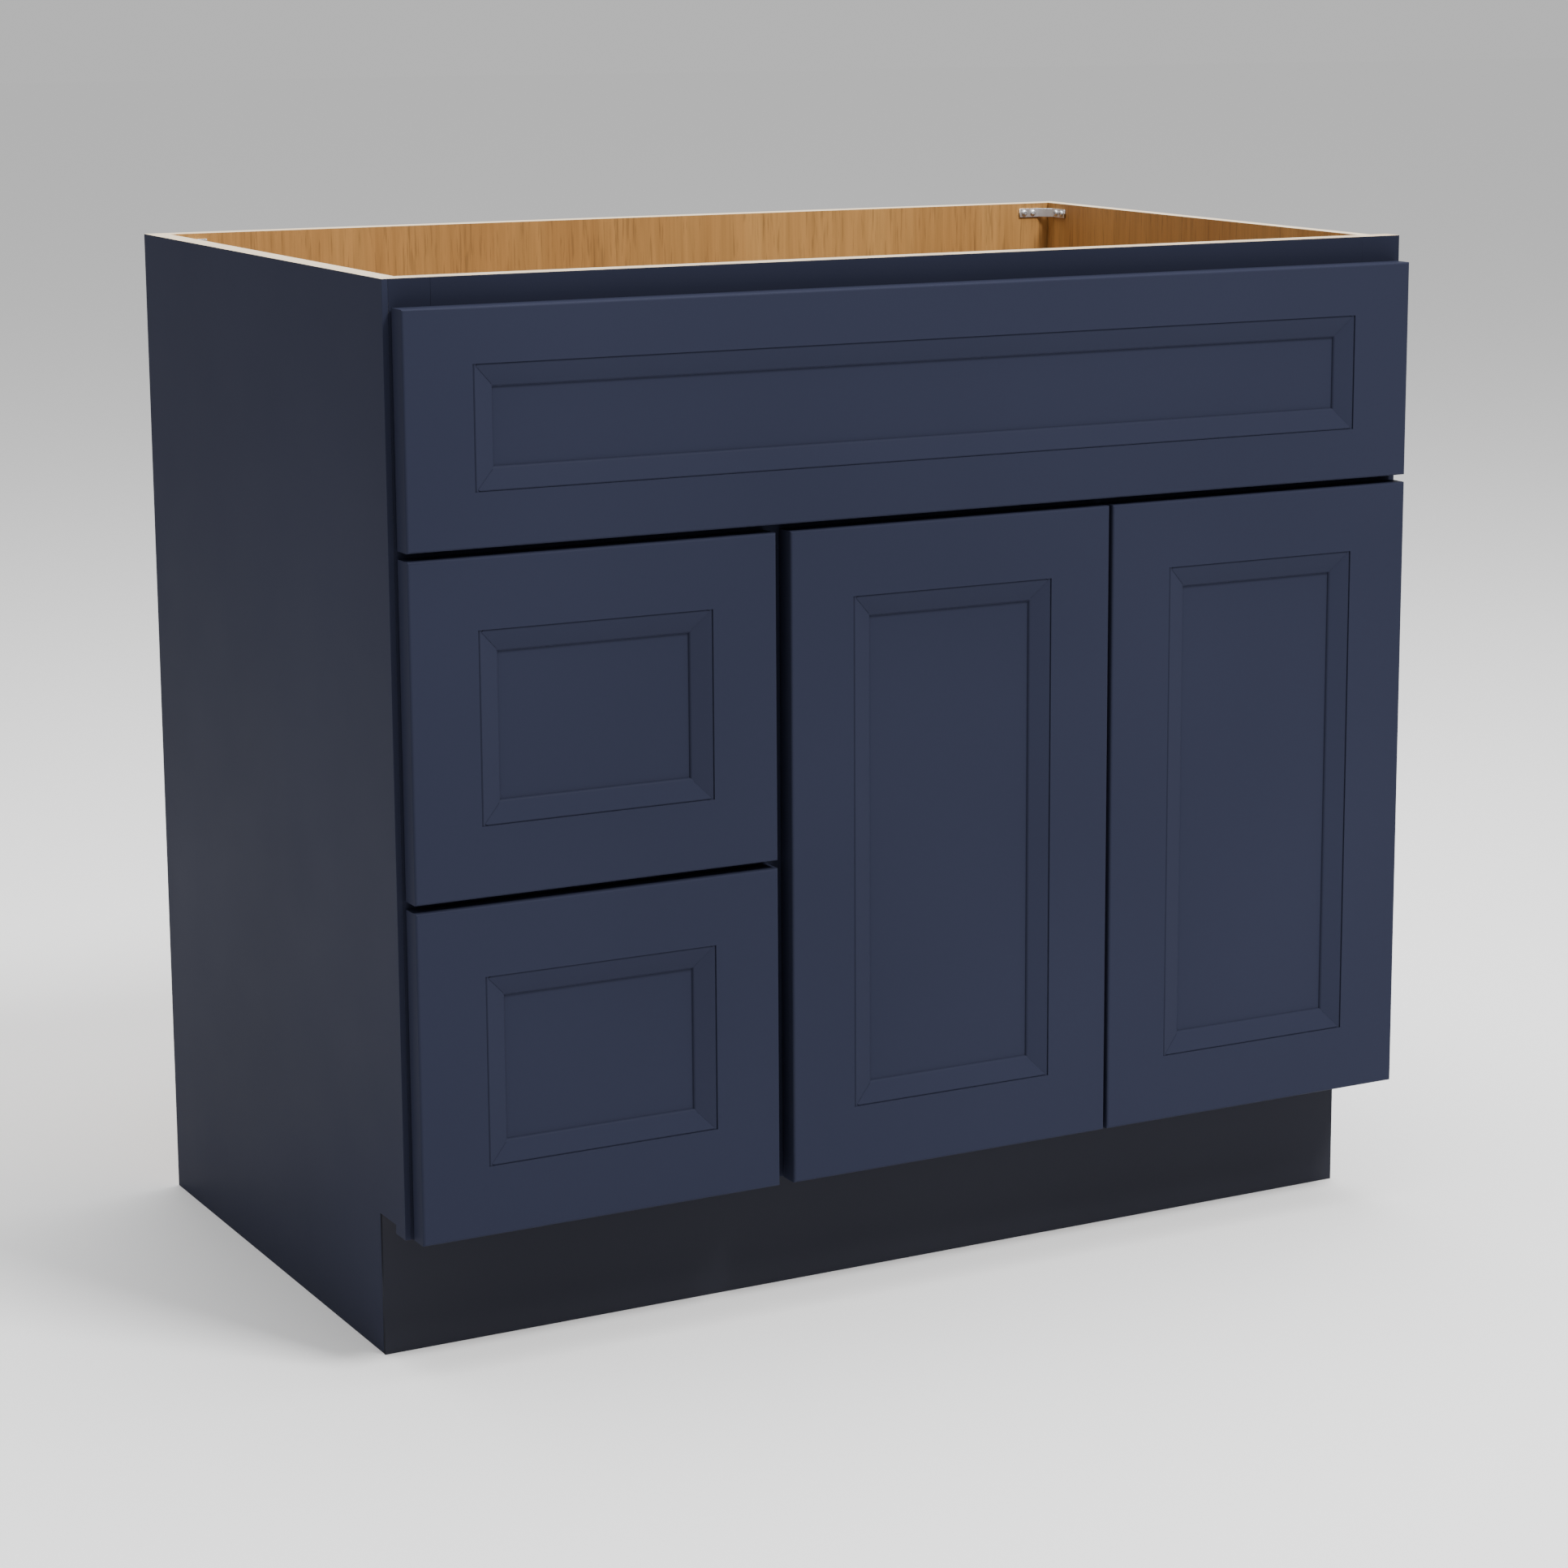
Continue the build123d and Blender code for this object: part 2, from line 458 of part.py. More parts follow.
def make_drawer(name, front_bottom, opening_bottom, parts):
    """A drawer: five-piece front, dovetailed box, screws, bumpers and its slides."""
    front = make_front(DRAWER_LEFT, DRAWER_RIGHT, front_bottom, front_bottom + DRAWER_HEIGHT)
    bottom = opening_bottom + BOX_LIFT
    top = bottom + BOX_HEIGHT
    inner_left, inner_right = BOX_LEFT + BOX_WALL, BOX_RIGHT - BOX_WALL
    sides = [block(BOX_LEFT, inner_left, FRONT_BACK, BOX_REAR, bottom, top),
             block(inner_right, BOX_RIGHT, FRONT_BACK, BOX_REAR, bottom, top)]
    ends = [block(inner_left, inner_right, FRONT_BACK, FRONT_BACK + BOX_WALL, bottom, top),
            block(inner_left, inner_right, BOX_REAR - BOX_WALL, BOX_REAR, bottom, top)]
    sheet_low = bottom + BOX_BOTTOM_RISE
    groove = BOX_WALL / 2
    sheet = block(inner_left - groove, inner_right + groove, FRONT_BACK + groove, BOX_REAR - groove,
                  sheet_low, sheet_low + BOX_BOTTOM_THICK)
    for end, (y_end, inward) in enumerate(((FRONT_BACK, 1), (BOX_REAR, -1))):
        for side, (x0, x1) in enumerate(((BOX_LEFT, inner_left), (inner_right, BOX_RIGHT))):
            pins = dovetail_pins(x0, x1, y_end, inward, bottom)
            sides[side] = sides[side] - pins
            ends[end] = ends[end] + pins
    sides = [side - sheet for side in sides]
    ends = [end - sheet for end in ends]
    middle = (BOX_LEFT + BOX_RIGHT) / 2
    for x in (middle - FRONT_SCREW_SIDE, middle + FRONT_SCREW_SIDE):
        for rail, height in enumerate(FRONT_SCREW_HEIGHTS[name]):
            point, forward = (x, FRONT_BACK + BOX_WALL, front_bottom + height), (0, -1, 0)
            ends[0] = drill(ends[0], point, forward, BOX_WALL)
            front["rails"][rail] = drill(front["rails"][rail], point, forward, BOX_WALL + SCREW_BITE)
            add(f"{name}_drawer_screws", screw(point, forward, BOX_WALL + SCREW_BITE))
    make_slides(name, bottom + SLIDE_RISE, parts, sides)
    add(f"{name}_drawer_front_stiles", *front["stiles"])
    add(f"{name}_drawer_front_rails", *front["rails"])
    add(f"{name}_drawer_front_panel", *front["panel"])
    add(f"{name}_drawer_box_sides", *sides)
    add(f"{name}_drawer_box_ends", *ends)
    add(f"{name}_drawer_box_bottom", sheet)
    for x in (DRAWER_LEFT + DRAWER_BUMPER_SIDE, DRAWER_RIGHT - COLUMN_GAP / 2):
        for z in (front_bottom + BUMPER_EDGE, front_bottom + DRAWER_HEIGHT - BUMPER_EDGE):
            add(f"{name}_drawer_bumpers", bumper(x, z))


def bumper(x, z):
    """A soft disc on the back of a front."""
    return rod((x, FRONT_BACK, z), (0, 1, 0), BUMPER_RADIUS, BUMPER_THICK)


# ---------------------------------------------------------------- doors and hinges
def bar(start, end, low, high):
    """A flat link between two points in plan, with a round boss at each end."""
    length = math.dist(start, end)
    angle = math.degrees(math.atan2(end[1] - start[1], end[0] - start[0]))
    middle = ((start[0] + end[0]) / 2, (start[1] + end[1]) / 2, (low + high) / 2)
    link = Pos(*middle) * Rot(0, 0, angle) * Box(length, 2 * LINK_HALF, high - low)
    for point in (start, end):
        link += rod((*point, low), (0, 0, 1), BOSS_RADIUS, high - low)
    return link


def pin_hole(point, low, high):
    return rod((*point, low), (0, 0, 1), PIN_RADIUS + PIN_PLAY, high - low)


def make_hinge(door, edge, into, frame_edge, centre, stile, parts):
    """One concealed hinge: cup in the door, plate on the frame, and two links between them."""
    def place(x, y):
        return (edge + into * x, FRONT_FACE + y)

    overlay = abs(frame_edge - edge)
    cup_x = overlay + CUP_PAST_FRAME
    cup = place(cup_x, FRONT_THICK)
    cup_pin = place(cup_x + CUP_PIN_SHIFT, CUP_PIN_DEPTH)
    arm_pin = place(*ARM_PIVOT)
    swing = (cup_x + CUP_PIN_SHIFT - VIRTUAL_AXIS[0], CUP_PIN_DEPTH - VIRTUAL_AXIS[1])
    knuckle = place(ARM_PIVOT[0] + swing[0], ARM_PIVOT[1] + swing[1])

    # cup with its pin, and the bore that it fills in the door
    bore = rod((cup[0], cup[1], centre), (0, -1, 0), CUP_RADIUS, CUP_DEPTH)
    hollow = rod((cup[0], cup[1] + FLANGE_THICK, centre), (0, -1, 0), CUP_RADIUS - CUP_WALL,
                 CUP_DEPTH - CUP_WALL + FLANGE_THICK)
    ear_x, ear_z = CUP_EAR_HALF
    ears = block(cup[0] - ear_x, cup[0] + ear_x, cup[1], cup[1] + FLANGE_THICK,
                 centre - ear_z, centre + ear_z)
    rim = rod((cup[0], cup[1], centre), (0, 1, 0), CUP_RADIUS + CUP_RIM, FLANGE_THICK)
    pin_reach = math.sqrt((CUP_RADIUS - CUP_WALL / 2) ** 2 - CUP_PIN_SHIFT ** 2)
    shell = (bore + rim + ears) - hollow
    shell += rod((*cup_pin, centre - pin_reach), (0, 0, 1), PIN_RADIUS, 2 * pin_reach)
    stile = stile - bore
    for offset in (-CUP_SCREW_SIDE, CUP_SCREW_SIDE):
        point = (cup[0], cup[1] + FLANGE_THICK, centre + offset)
        shell = drill(shell, point, (0, -1, 0), FLANGE_THICK)
        stile = drill(stile, point, (0, -1, 0), FLANGE_THICK + CUP_BITE)
        add(f"{door}_door_hinge_cups", screw(point, (0, -1, 0), FLANGE_THICK + CUP_BITE))
    add(f"{door}_door_hinge_cups", shell)

    # plate on the frame's edge, with two cheeks that hold the fixed pin
    plate_x = frame_edge + into * HINGE_PLATE
    plate_front, plate_back = FRAME_FRONT + PLATE_MARGIN, FRAME_BACK - PLATE_MARGIN
    plate = block(frame_edge, plate_x, plate_front, plate_back, centre - PLATE_HALF, centre + PLATE_HALF)
    root = (plate_x, plate_front + BOSS_RADIUS)
    cheek_high = CHEEK_LOW + LINK_SHEET
    for low, high in ((CHEEK_LOW, cheek_high), (-cheek_high, -CHEEK_LOW)):
        cheek = bar(root, arm_pin, centre + low, centre + high)
        in_frame = block(frame_edge, edge, FRONT_FACE, FRAME_BACK, centre + low, centre + high)
        plate += cheek - in_frame
    plate += rod((*arm_pin, centre - cheek_high), (0, 0, 1), PIN_RADIUS, 2 * cheek_high)
    board = "centre_mullion" if door == "left" else "right_stile"
    for offset in (-PLATE_SCREW_SIDE, PLATE_SCREW_SIDE):
        point = (plate_x, (FRAME_FRONT + FRAME_BACK) / 2, centre + offset)
        plate = drill(plate, point, (-into, 0, 0), HINGE_PLATE)
        parts[board] = drill(parts[board], point, (-into, 0, 0), PLATE_BITE)
        add("cabinet_screws", screw(point, (-into, 0, 0), PLATE_BITE))
    add("hinge_frame_plates", plate)

    # centre link: turns with the door about the fixed pin
    centre_link = bar(arm_pin, knuckle, centre - CENTRE_LINK_HALF, centre + CENTRE_LINK_HALF)
    for point in (arm_pin, knuckle):
        centre_link -= pin_hole(point, centre - CENTRE_LINK_HALF, centre + CENTRE_LINK_HALF)
    add(f"{door}_hinge_centre_links", centre_link)

    # outer link: two plates and the knuckle pin; it keeps its direction while the door turns
    outer_high = OUTER_LINK_LOW + LINK_SHEET
    outer_link = rod((*knuckle, centre - outer_high), (0, 0, 1), PIN_RADIUS, 2 * outer_high)
    for low, high in ((OUTER_LINK_LOW, outer_high), (-outer_high, -OUTER_LINK_LOW)):
        plate_link = bar(cup_pin, knuckle, centre + low, centre + high)
        outer_link += plate_link - pin_hole(cup_pin, centre + low, centre + high)
    add(f"{door}_hinge_outer_links", outer_link)
    return stile


def make_door(door, x0, x1, hinged_left, frame_edge, parts):
    """A five-piece door with two hinges and two bumpers."""
    front = make_front(x0, x1, FRAME_BOTTOM, UPPER_TOP)
    edge, free, into = (x0, x1, 1) if hinged_left else (x1, x0, -1)
    hinged = 0 if hinged_left else 1
    for centre in (FRAME_BOTTOM + HINGE_INSET, UPPER_TOP - HINGE_INSET):
        stile = front["stiles"][hinged]
        front["stiles"][hinged] = make_hinge(door, edge, into, frame_edge, centre, stile, parts)
    add(f"{door}_door_stiles", *front["stiles"])
    add(f"{door}_door_rails", *front["rails"])
    add(f"{door}_door_panel", *front["panel"])
    for z in (FRAME_BOTTOM + BUMPER_EDGE, UPPER_TOP - DOOR_BUMPER_TOP):
        add(f"{door}_door_bumpers", bumper(free - into * DOOR_BUMPER_SIDE, z))


# ---------------------------------------------------------------- assembly
def make_packing(parts, drawer, opening_bottom):
    """A board that brings the left slides flush with the frame opening."""
    centre = opening_bottom + BOX_LIFT + SLIDE_RISE
    low, high = centre - PACKING_HEIGHT / 2, centre + PACKING_HEIGHT / 2
    parts[packing_name(drawer)] = block(SIDE_LEFT_IN, STILE_LEFT_IN, FRAME_BACK, SLIDE_BACK, low, high)


def build():
    parts = make_carcass()
    parts.update(make_face_frame())
    openings = {"lower": (LOWER_BOTTOM, BOTTOM_RAIL_TOP), "upper": (UPPER_BOTTOM, DRAWER_RAIL_TOP)}
    for drawer, (front_bottom, opening_bottom) in openings.items():
        make_packing(parts, drawer, opening_bottom)
        make_drawer(drawer, front_bottom, opening_bottom, parts)
    make_door("left", DOORS_LEFT, DOORS_LEFT + DOOR_WIDTH, True, MULLION_RIGHT, parts)
    make_door("right", DOORS_RIGHT - DOOR_WIDTH, DOORS_RIGHT, False, STILE_RIGHT_IN, parts)
    false_front = make_front(DRAWER_LEFT, DOORS_RIGHT, FALSE_BOTTOM, FRONT_TOP, FALSE_RAIL_FLAT)
    make_false_brackets(parts, false_front)
    make_corner_braces(parts)
    for piece, solids in false_front.items():
        add(f"false_front_{piece}", *solids)
    add("slide_packing_boards", parts.pop(packing_name("lower")), parts.pop(packing_name("upper")))
    for name, solid in parts.items():
        add(name, solid)


def write():
    for name, solids in nodes.items():
        shape = Compound(children=[Solid(solid.solid().wrapped) for solid in solids])
        shape.label = name
        export_step(shape, f"parts/{name}.step")


build()
write()
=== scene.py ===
import json
import math

import bmesh
import bpy
from bpy.props import FloatProperty, FloatVectorProperty, IntProperty, PointerProperty
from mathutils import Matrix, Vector


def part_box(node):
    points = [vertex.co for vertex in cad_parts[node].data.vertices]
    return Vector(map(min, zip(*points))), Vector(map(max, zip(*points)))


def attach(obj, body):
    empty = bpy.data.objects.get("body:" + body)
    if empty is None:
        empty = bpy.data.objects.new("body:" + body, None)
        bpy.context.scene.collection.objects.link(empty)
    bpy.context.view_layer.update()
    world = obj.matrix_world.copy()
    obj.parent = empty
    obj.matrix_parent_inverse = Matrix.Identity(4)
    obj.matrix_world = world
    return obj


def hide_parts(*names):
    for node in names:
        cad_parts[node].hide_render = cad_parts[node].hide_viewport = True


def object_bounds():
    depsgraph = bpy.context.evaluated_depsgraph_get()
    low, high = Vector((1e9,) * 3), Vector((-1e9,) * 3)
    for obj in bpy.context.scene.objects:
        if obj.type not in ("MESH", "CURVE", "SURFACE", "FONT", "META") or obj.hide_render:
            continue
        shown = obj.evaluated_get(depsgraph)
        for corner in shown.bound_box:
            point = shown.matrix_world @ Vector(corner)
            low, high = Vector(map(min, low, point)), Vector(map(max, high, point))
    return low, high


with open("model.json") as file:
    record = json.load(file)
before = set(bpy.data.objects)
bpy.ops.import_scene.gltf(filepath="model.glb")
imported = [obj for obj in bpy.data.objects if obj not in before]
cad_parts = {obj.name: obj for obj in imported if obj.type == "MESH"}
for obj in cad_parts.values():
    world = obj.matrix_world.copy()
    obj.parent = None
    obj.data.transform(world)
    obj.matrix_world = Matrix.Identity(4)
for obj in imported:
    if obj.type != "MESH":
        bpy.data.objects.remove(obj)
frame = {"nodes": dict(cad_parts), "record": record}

bl_info = {
    "name": "Bathroom Vanity Cabinet",
    "version": (1, 0, 0),
    "blender": (4, 5, 0),
    "location": "View3D > Sidebar > Vanity",
    "description": "Builds the finished pieces of a bathroom vanity cabinet round its fixed frame",
    "category": "Object",
}

LOW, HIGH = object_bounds()
BODIES = frame["record"]["behaviour"]["bodies"]
BODY_OF = {node: body for body, nodes in BODIES.items() for node in nodes}
MM = 0.001
KEY_PLACE, KEY_SIZE = (1.4, -3.1, 4.6), (1.3, 1.3)
TOP_PLACE, TOP_SIZE = (0.2, 0.3, 3.4), (2.6, 2.6)
CAMERA_PLACE = (-1.5087, -2.8926, 1.0685)
CAMERA_DOWN, CAMERA_TURN = 0.1877, -0.5141      # radians
CAMERA_SHIFT = (-0.0775, -0.06)


# ---------------------------------------------------------------- settings
class PaintSettings(bpy.types.PropertyGroup):
    navy: FloatVectorProperty(
        name="Navy", description="Colour of the satin paint", subtype="COLOR", size=3, min=0, max=1,
        default=(0.0215, 0.0240, 0.042))
    toe: FloatVectorProperty(
        name="Toe kick", description="Colour of the toe kick's skin", subtype="COLOR", size=3, min=0, max=1,
        default=(0.0265, 0.0275, 0.036))
    roughness: FloatProperty(
        name="Roughness", description="Roughness of the satin paint", default=0.42, min=0, max=1, subtype="FACTOR")
    peel: FloatProperty(
        name="Orange peel", description="Depth of the sprayed paint's ripple", default=0.00003, min=0,
        unit="LENGTH")


class WoodSettings(bpy.types.PropertyGroup):
    veneer_dark: FloatVectorProperty(
        name="Veneer dark", description="Dark grain of the plywood's face veneer", subtype="COLOR", size=3,
        min=0, max=1, default=(0.325, 0.146, 0.036))
    veneer_light: FloatVectorProperty(
        name="Veneer light", description="Light grain of the plywood's face veneer", subtype="COLOR", size=3,
        min=0, max=1, default=(0.49, 0.252, 0.072))
    raw_dark: FloatVectorProperty(
        name="Raw maple dark", description="Dark grain of unpainted solid maple", subtype="COLOR", size=3,
        min=0, max=1, default=(0.60, 0.46, 0.31))
    raw_light: FloatVectorProperty(
        name="Raw maple light", description="Light grain of unpainted solid maple", subtype="COLOR", size=3,
        min=0, max=1, default=(0.76, 0.64, 0.47))
    rounding: FloatProperty(
        name="Board rounding", description="Broken edge of the plywood boards", default=0.0004, min=0,
        unit="LENGTH")
    box_rounding: FloatProperty(
        name="Drawer box rounding", description="Broken edge of the drawer boxes", default=0.0008, min=0,
        unit="LENGTH")


class HardwareSettings(bpy.types.PropertyGroup):
    steel: FloatVectorProperty(
        name="Steel", description="Colour of the zinc-plated steel", subtype="COLOR", size=3, min=0, max=1,
        default=(0.70, 0.71, 0.73))
    thread_pitch: FloatProperty(
        name="Thread pitch", description="Distance between the turns of a screw's thread", default=0.0015,
        min=0.0005, unit="LENGTH")
    recess: FloatProperty(
        name="Recess width", description="Width of the cross recess in a screw's head", default=0.0009,
        min=0.0001, unit="LENGTH")
    ball: FloatProperty(
        name="Ball diameter", description="Diameter of the balls in the drawer slides", default=0.0034,
        min=0.001, unit="LENGTH")
    ball_gap: FloatProperty(
        name="Ball spacing", description="Distance between the balls in their cages", default=0.0125,
        min=0.004, unit="LENGTH")
    seed: IntProperty(name="Seed", description="Turns the screws' recesses", default=7, min=0)


class StageSettings(bpy.types.PropertyGroup):
    floor: FloatVectorProperty(
        name="Floor", description="Colour of the floor", subtype="COLOR", size=3, min=0, max=1,
        default=(0.98, 0.98, 0.98))
    sky: FloatProperty(name="Sky", description="Strength of the even light", default=0.62, min=0)
    key: FloatProperty(name="Key light", description="Power of the large front light", default=330.0, min=0,
                       unit="POWER")
    top: FloatProperty(name="Top light", description="Power of the large light above", default=130.0, min=0,
                       unit="POWER")
    lens: FloatProperty(name="Lens", description="Focal length of the camera", default=88.683, min=10,
                        unit="CAMERA")


class VanitySettings(bpy.types.PropertyGroup):
    paint: PointerProperty(type=PaintSettings, name="Paint", description="Painted surfaces")
    wood: PointerProperty(type=WoodSettings, name="Wood", description="Boards and drawer boxes")
    hardware: PointerProperty(type=HardwareSettings, name="Hardware", description="Steel pieces")
    stage: PointerProperty(type=StageSettings, name="Stage", description="Floor, lights and camera")


def settings():
    return bpy.context.scene.vanity


# ---------------------------------------------------------------- material helpers
class Surface:
    """A node material with its Principled shader, and short calls that add nodes to it."""

    def __init__(self, name):
        self.material = bpy.data.materials.new(name)
        self.material.use_nodes = True
        self.tree = self.material.node_tree
        self.shader = self.tree.nodes["Principled BSDF"]
        self.coordinate = self.tree.nodes.new("ShaderNodeTexCoord").outputs["Object"]

    def node(self, kind, **values):
        made = self.tree.nodes.new(kind)
        for key, value in values.items():
            setattr(made, key, value)
        return made

    def link(self, source, target):
        self.tree.links.new(source, target)

    def scaled(self, scale):
        """Object coordinates stretched by a scale along each axis."""
        mapping = self.node("ShaderNodeMapping")
        mapping.inputs["Scale"].default_value = scale
        self.link(self.coordinate, mapping.inputs["Vector"])
        return mapping.outputs["Vector"]

    def noise(self, scale, detail=3.0, roughness=0.5, distortion=0.0, size=1.0):
        noise = self.node("ShaderNodeTexNoise")
        noise.inputs["Scale"].default_value = size
        noise.inputs["Detail"].default_value = detail
        noise.inputs["Roughness"].default_value = roughness
        noise.inputs["Distortion"].default_value = distortion
        self.link(self.scaled(scale), noise.inputs["Vector"])
        return noise.outputs["Fac"]

    def ramp(self, source, stops):
        """A colour ramp; a stop is (position, grey or colour)."""
        ramp = self.node("ShaderNodeValToRGB")
        elements = ramp.color_ramp.elements
        while len(elements) < len(stops):
            elements.new(0.5)
        for element, (position, colour) in zip(elements, stops):
            element.position = position
            triple = (colour,) * 3 if isinstance(colour, (int, float)) else tuple(colour)
            element.color = (*triple, 1)
        self.link(source, ramp.inputs["Fac"])
        return ramp.outputs["Color"]

    def mix(self, kind, first, second, factor):
        """Mixes two colours; each may be a socket or a colour."""
        mix = self.node("ShaderNodeMix", data_type="RGBA", blend_type=kind)
        for name, value in (("A", first), ("B", second)):
            socket = next(s for s in mix.inputs if s.name == name and s.type == "RGBA")
            if isinstance(value, bpy.types.NodeSocket):
                self.link(value, socket)
            else:
                socket.default_value = (*value, 1)
        if isinstance(factor, bpy.types.NodeSocket):
            self.link(factor, mix.inputs["Factor"])
        else:
            mix.inputs["Factor"].default_value = factor
        return next(s for s in mix.outputs if s.type == "RGBA")

    def bump(self, height, distance, strength=1.0):
        bump = self.node("ShaderNodeBump")
        bump.inputs["Distance"].default_value = distance
        bump.inputs["Strength"].default_value = strength
        self.link(height, bump.inputs["Height"])
        self.link(bump.outputs["Normal"], self.shader.inputs["Normal"])

    def range(self, source, low, high):
        """A 0 to 1 value mapped between low and high."""
        mapped = self.node("ShaderNodeMapRange")
        mapped.inputs["To Min"].default_value = low
        mapped.inputs["To Max"].default_value = high
        self.link(source, mapped.inputs["Value"])
        return mapped.outputs["Result"]


def stretched(axis, along, across):
    """A scale with a low count along one axis (0, 1 or 2) and a high one across it."""
    return tuple(along if index == axis else across for index in range(3))


def shade(colour, amount):
    return tuple(channel * amount for channel in colour)


def halfway(dark, light):
    return tuple((a + b) / 2 for a, b in zip(dark, light))


def satin_paint(name, colour, roughness, peel):
    """Sprayed satin paint on maple: a fine ripple, a slow drift in tone and uneven gloss."""
    surface = Surface(name)
    drift = surface.noise((2.2, 2.2, 2.2), detail=2)
    tone = surface.ramp(drift, [(0.3, shade(colour, 0.94)), (0.7, shade(colour, 1.06))])
    surface.link(tone, surface.shader.inputs["Base Color"])
    gloss = surface.noise((14, 14, 14), detail=3)
    surface.link(surface.range(gloss, roughness - 0.04, roughness + 0.05), surface.shader.inputs["Roughness"])
    surface.shader.inputs["Specular IOR Level"].default_value = 0.012
    surface.bump(surface.noise((420, 420, 420), detail=2), peel, 0.5)
    return surface.material


def maple_face(name, axis, dark, light, roughness=0.5):
    """Clear-coated maple with its grain along one axis: long soft figure, fine pores and ray flecks."""
    surface = Surface(name)
    figure = surface.noise(stretched(axis, 1.1, 13), detail=3, distortion=0.7)
    fibre = surface.noise(stretched(axis, 7, 190), detail=4, roughness=0.62)
    pores = surface.noise(stretched(axis, 28, 460), detail=2)
    tone = surface.ramp(figure, [(0.28, dark), (0.5, halfway(dark, light)), (0.72, light)])
    fine = surface.ramp(fibre, [(0.30, 0.74), (0.62, 1.0)])
    tone = surface.mix("MULTIPLY", tone, fine, 0.8)
    flecks = surface.ramp(pores, [(0.32, 0.55), (0.44, 1.0)])
    tone = surface.mix("MULTIPLY", tone, flecks, 0.6)
    surface.link(tone, surface.shader.inputs["Base Color"])
    surface.link(surface.range(fibre, roughness - 0.06, roughness + 0.08), surface.shader.inputs["Roughness"])
    surface.shader.inputs["Specular IOR Level"].default_value = 0.35
    surface.bump(fibre, 0.00006, 0.5)
    return surface.material


def ply_edge(name, axis, dark, light):
    """The raw edge of plywood: thin plies stacked along one axis, with fine streaks along the plies."""
    surface = Surface(name)
    plies = surface.node("ShaderNodeTexWave", wave_type="BANDS", bands_direction="XYZ"[axis],
                         wave_profile="SIN")
    plies.inputs["Scale"].default_value = 105
    plies.inputs["Distortion"].default_value = 0.5
    plies.inputs["Detail"].default_value = 2
    surface.link(surface.coordinate, plies.inputs["Vector"])
    grain = surface.noise(stretched(axis, 500, 90), detail=3)
    mean = halfway(dark, light)
    tone = surface.ramp(plies.outputs["Fac"], [(0.0, shade(mean, 0.86)), (0.35, mean), (0.8, light)])
    tone = surface.mix("MULTIPLY", tone, surface.ramp(grain, [(0.3, 0.82), (0.65, 1.0)]), 0.6)
    surface.link(tone, surface.shader.inputs["Base Color"])
    surface.shader.inputs["Roughness"].default_value = 0.75
    surface.shader.inputs["Specular IOR Level"].default_value = 0.2
    surface.bump(plies.outputs["Fac"], 0.00008, 0.6)
    return surface.material


def zinc_steel(name, colour, roughness=0.42):
    """Bright zinc-plated sheet steel with a faint rolled grain and cloudy plating."""
    surface = Surface(name)
    cloud = surface.noise((60, 60, 60), detail=3)
    tone = surface.ramp(cloud, [(0.3, shade(colour, 0.90)), (0.7, shade(colour, 1.08))])
    surface.link(tone, surface.shader.inputs["Base Color"])
    surface.shader.inputs["Metallic"].default_value = 1.0
    rolled = surface.noise((2600, 60, 2600), detail=2)
    surface.link(surface.range(cloud, roughness - 0.07, roughness + 0.10), surface.shader.inputs["Roughness"])
    surface.bump(rolled, 0.000012, 0.5)
    return surface.material


def clear_rubber(name):
    surface = Surface(name)
    surface.shader.inputs["Base Color"].default_value = (0.80, 0.80, 0.77, 1)
    surface.shader.inputs["Transmission Weight"].default_value = 0.55
    surface.shader.inputs["IOR"].default_value = 1.42
    surface.link(surface.range(surface.noise((900, 900, 900)), 0.22, 0.34), surface.shader.inputs["Roughness"])
    return surface.material


PALETTE = {}


def finish_of(name):
    """A material by its plain name, made the first time it is asked for."""
    if name in PALETTE:
        return PALETTE[name]
    paint, wood, hardware = settings().paint, settings().wood, settings().hardware
    kind, _, axis = name.partition(" ")
    number = "xyz".find(axis) if axis else 0
    if kind == "navy":
        made = satin_paint("navy satin paint", tuple(paint.navy), paint.roughness, paint.peel)
    elif kind == "frame":
        # The face frame's paint is the same navy darkened to 0.75: painted shade for the frame set back behind the
        # fronts, not a paint of its own.
        made = satin_paint("navy frame paint", shade(paint.navy, 0.75), paint.roughness, paint.peel)
    elif kind == "toe":
        made = satin_paint("toe kick paint", tuple(paint.toe), 0.55, paint.peel)
    elif kind == "veneer":
        made = maple_face(f"maple veneer {axis}", number, tuple(wood.veneer_dark), tuple(wood.veneer_light))
    elif kind == "solid":
        made = maple_face(f"solid maple {axis}", number, tuple(wood.raw_dark), tuple(wood.raw_light), 0.6)
    elif kind == "plies":
        made = ply_edge(f"plywood edge {axis}", number, tuple(wood.raw_dark), tuple(wood.raw_light))
    elif kind == "steel":
        made = zinc_steel("zinc plated steel", tuple(hardware.steel))
    elif kind == "rubber":
        made = clear_rubber("clear soft rubber")
    else:
        raise ValueError(f"no finish is called {name}")
    PALETTE[name] = made
    return made


# ---------------------------------------------------------------- mesh helpers
def merged(node):
    """A copy of a CAD node's mesh as a bmesh, with its points merged and its flat faces whole."""
    mesh = frame["nodes"][node].data.copy()
    if "custom_normal" in mesh.attributes:
        mesh.attributes.remove(mesh.attributes["custom_normal"])
    mesh.materials.clear()
    work = bmesh.new()
    work.from_mesh(mesh)
    bpy.data.meshes.remove(mesh)
    bmesh.ops.remove_doubles(work, verts=work.verts, dist=2e-6)
    bmesh.ops.dissolve_limit(work, angle_limit=math.radians(0.3), verts=work.verts, edges=work.edges)
    return work


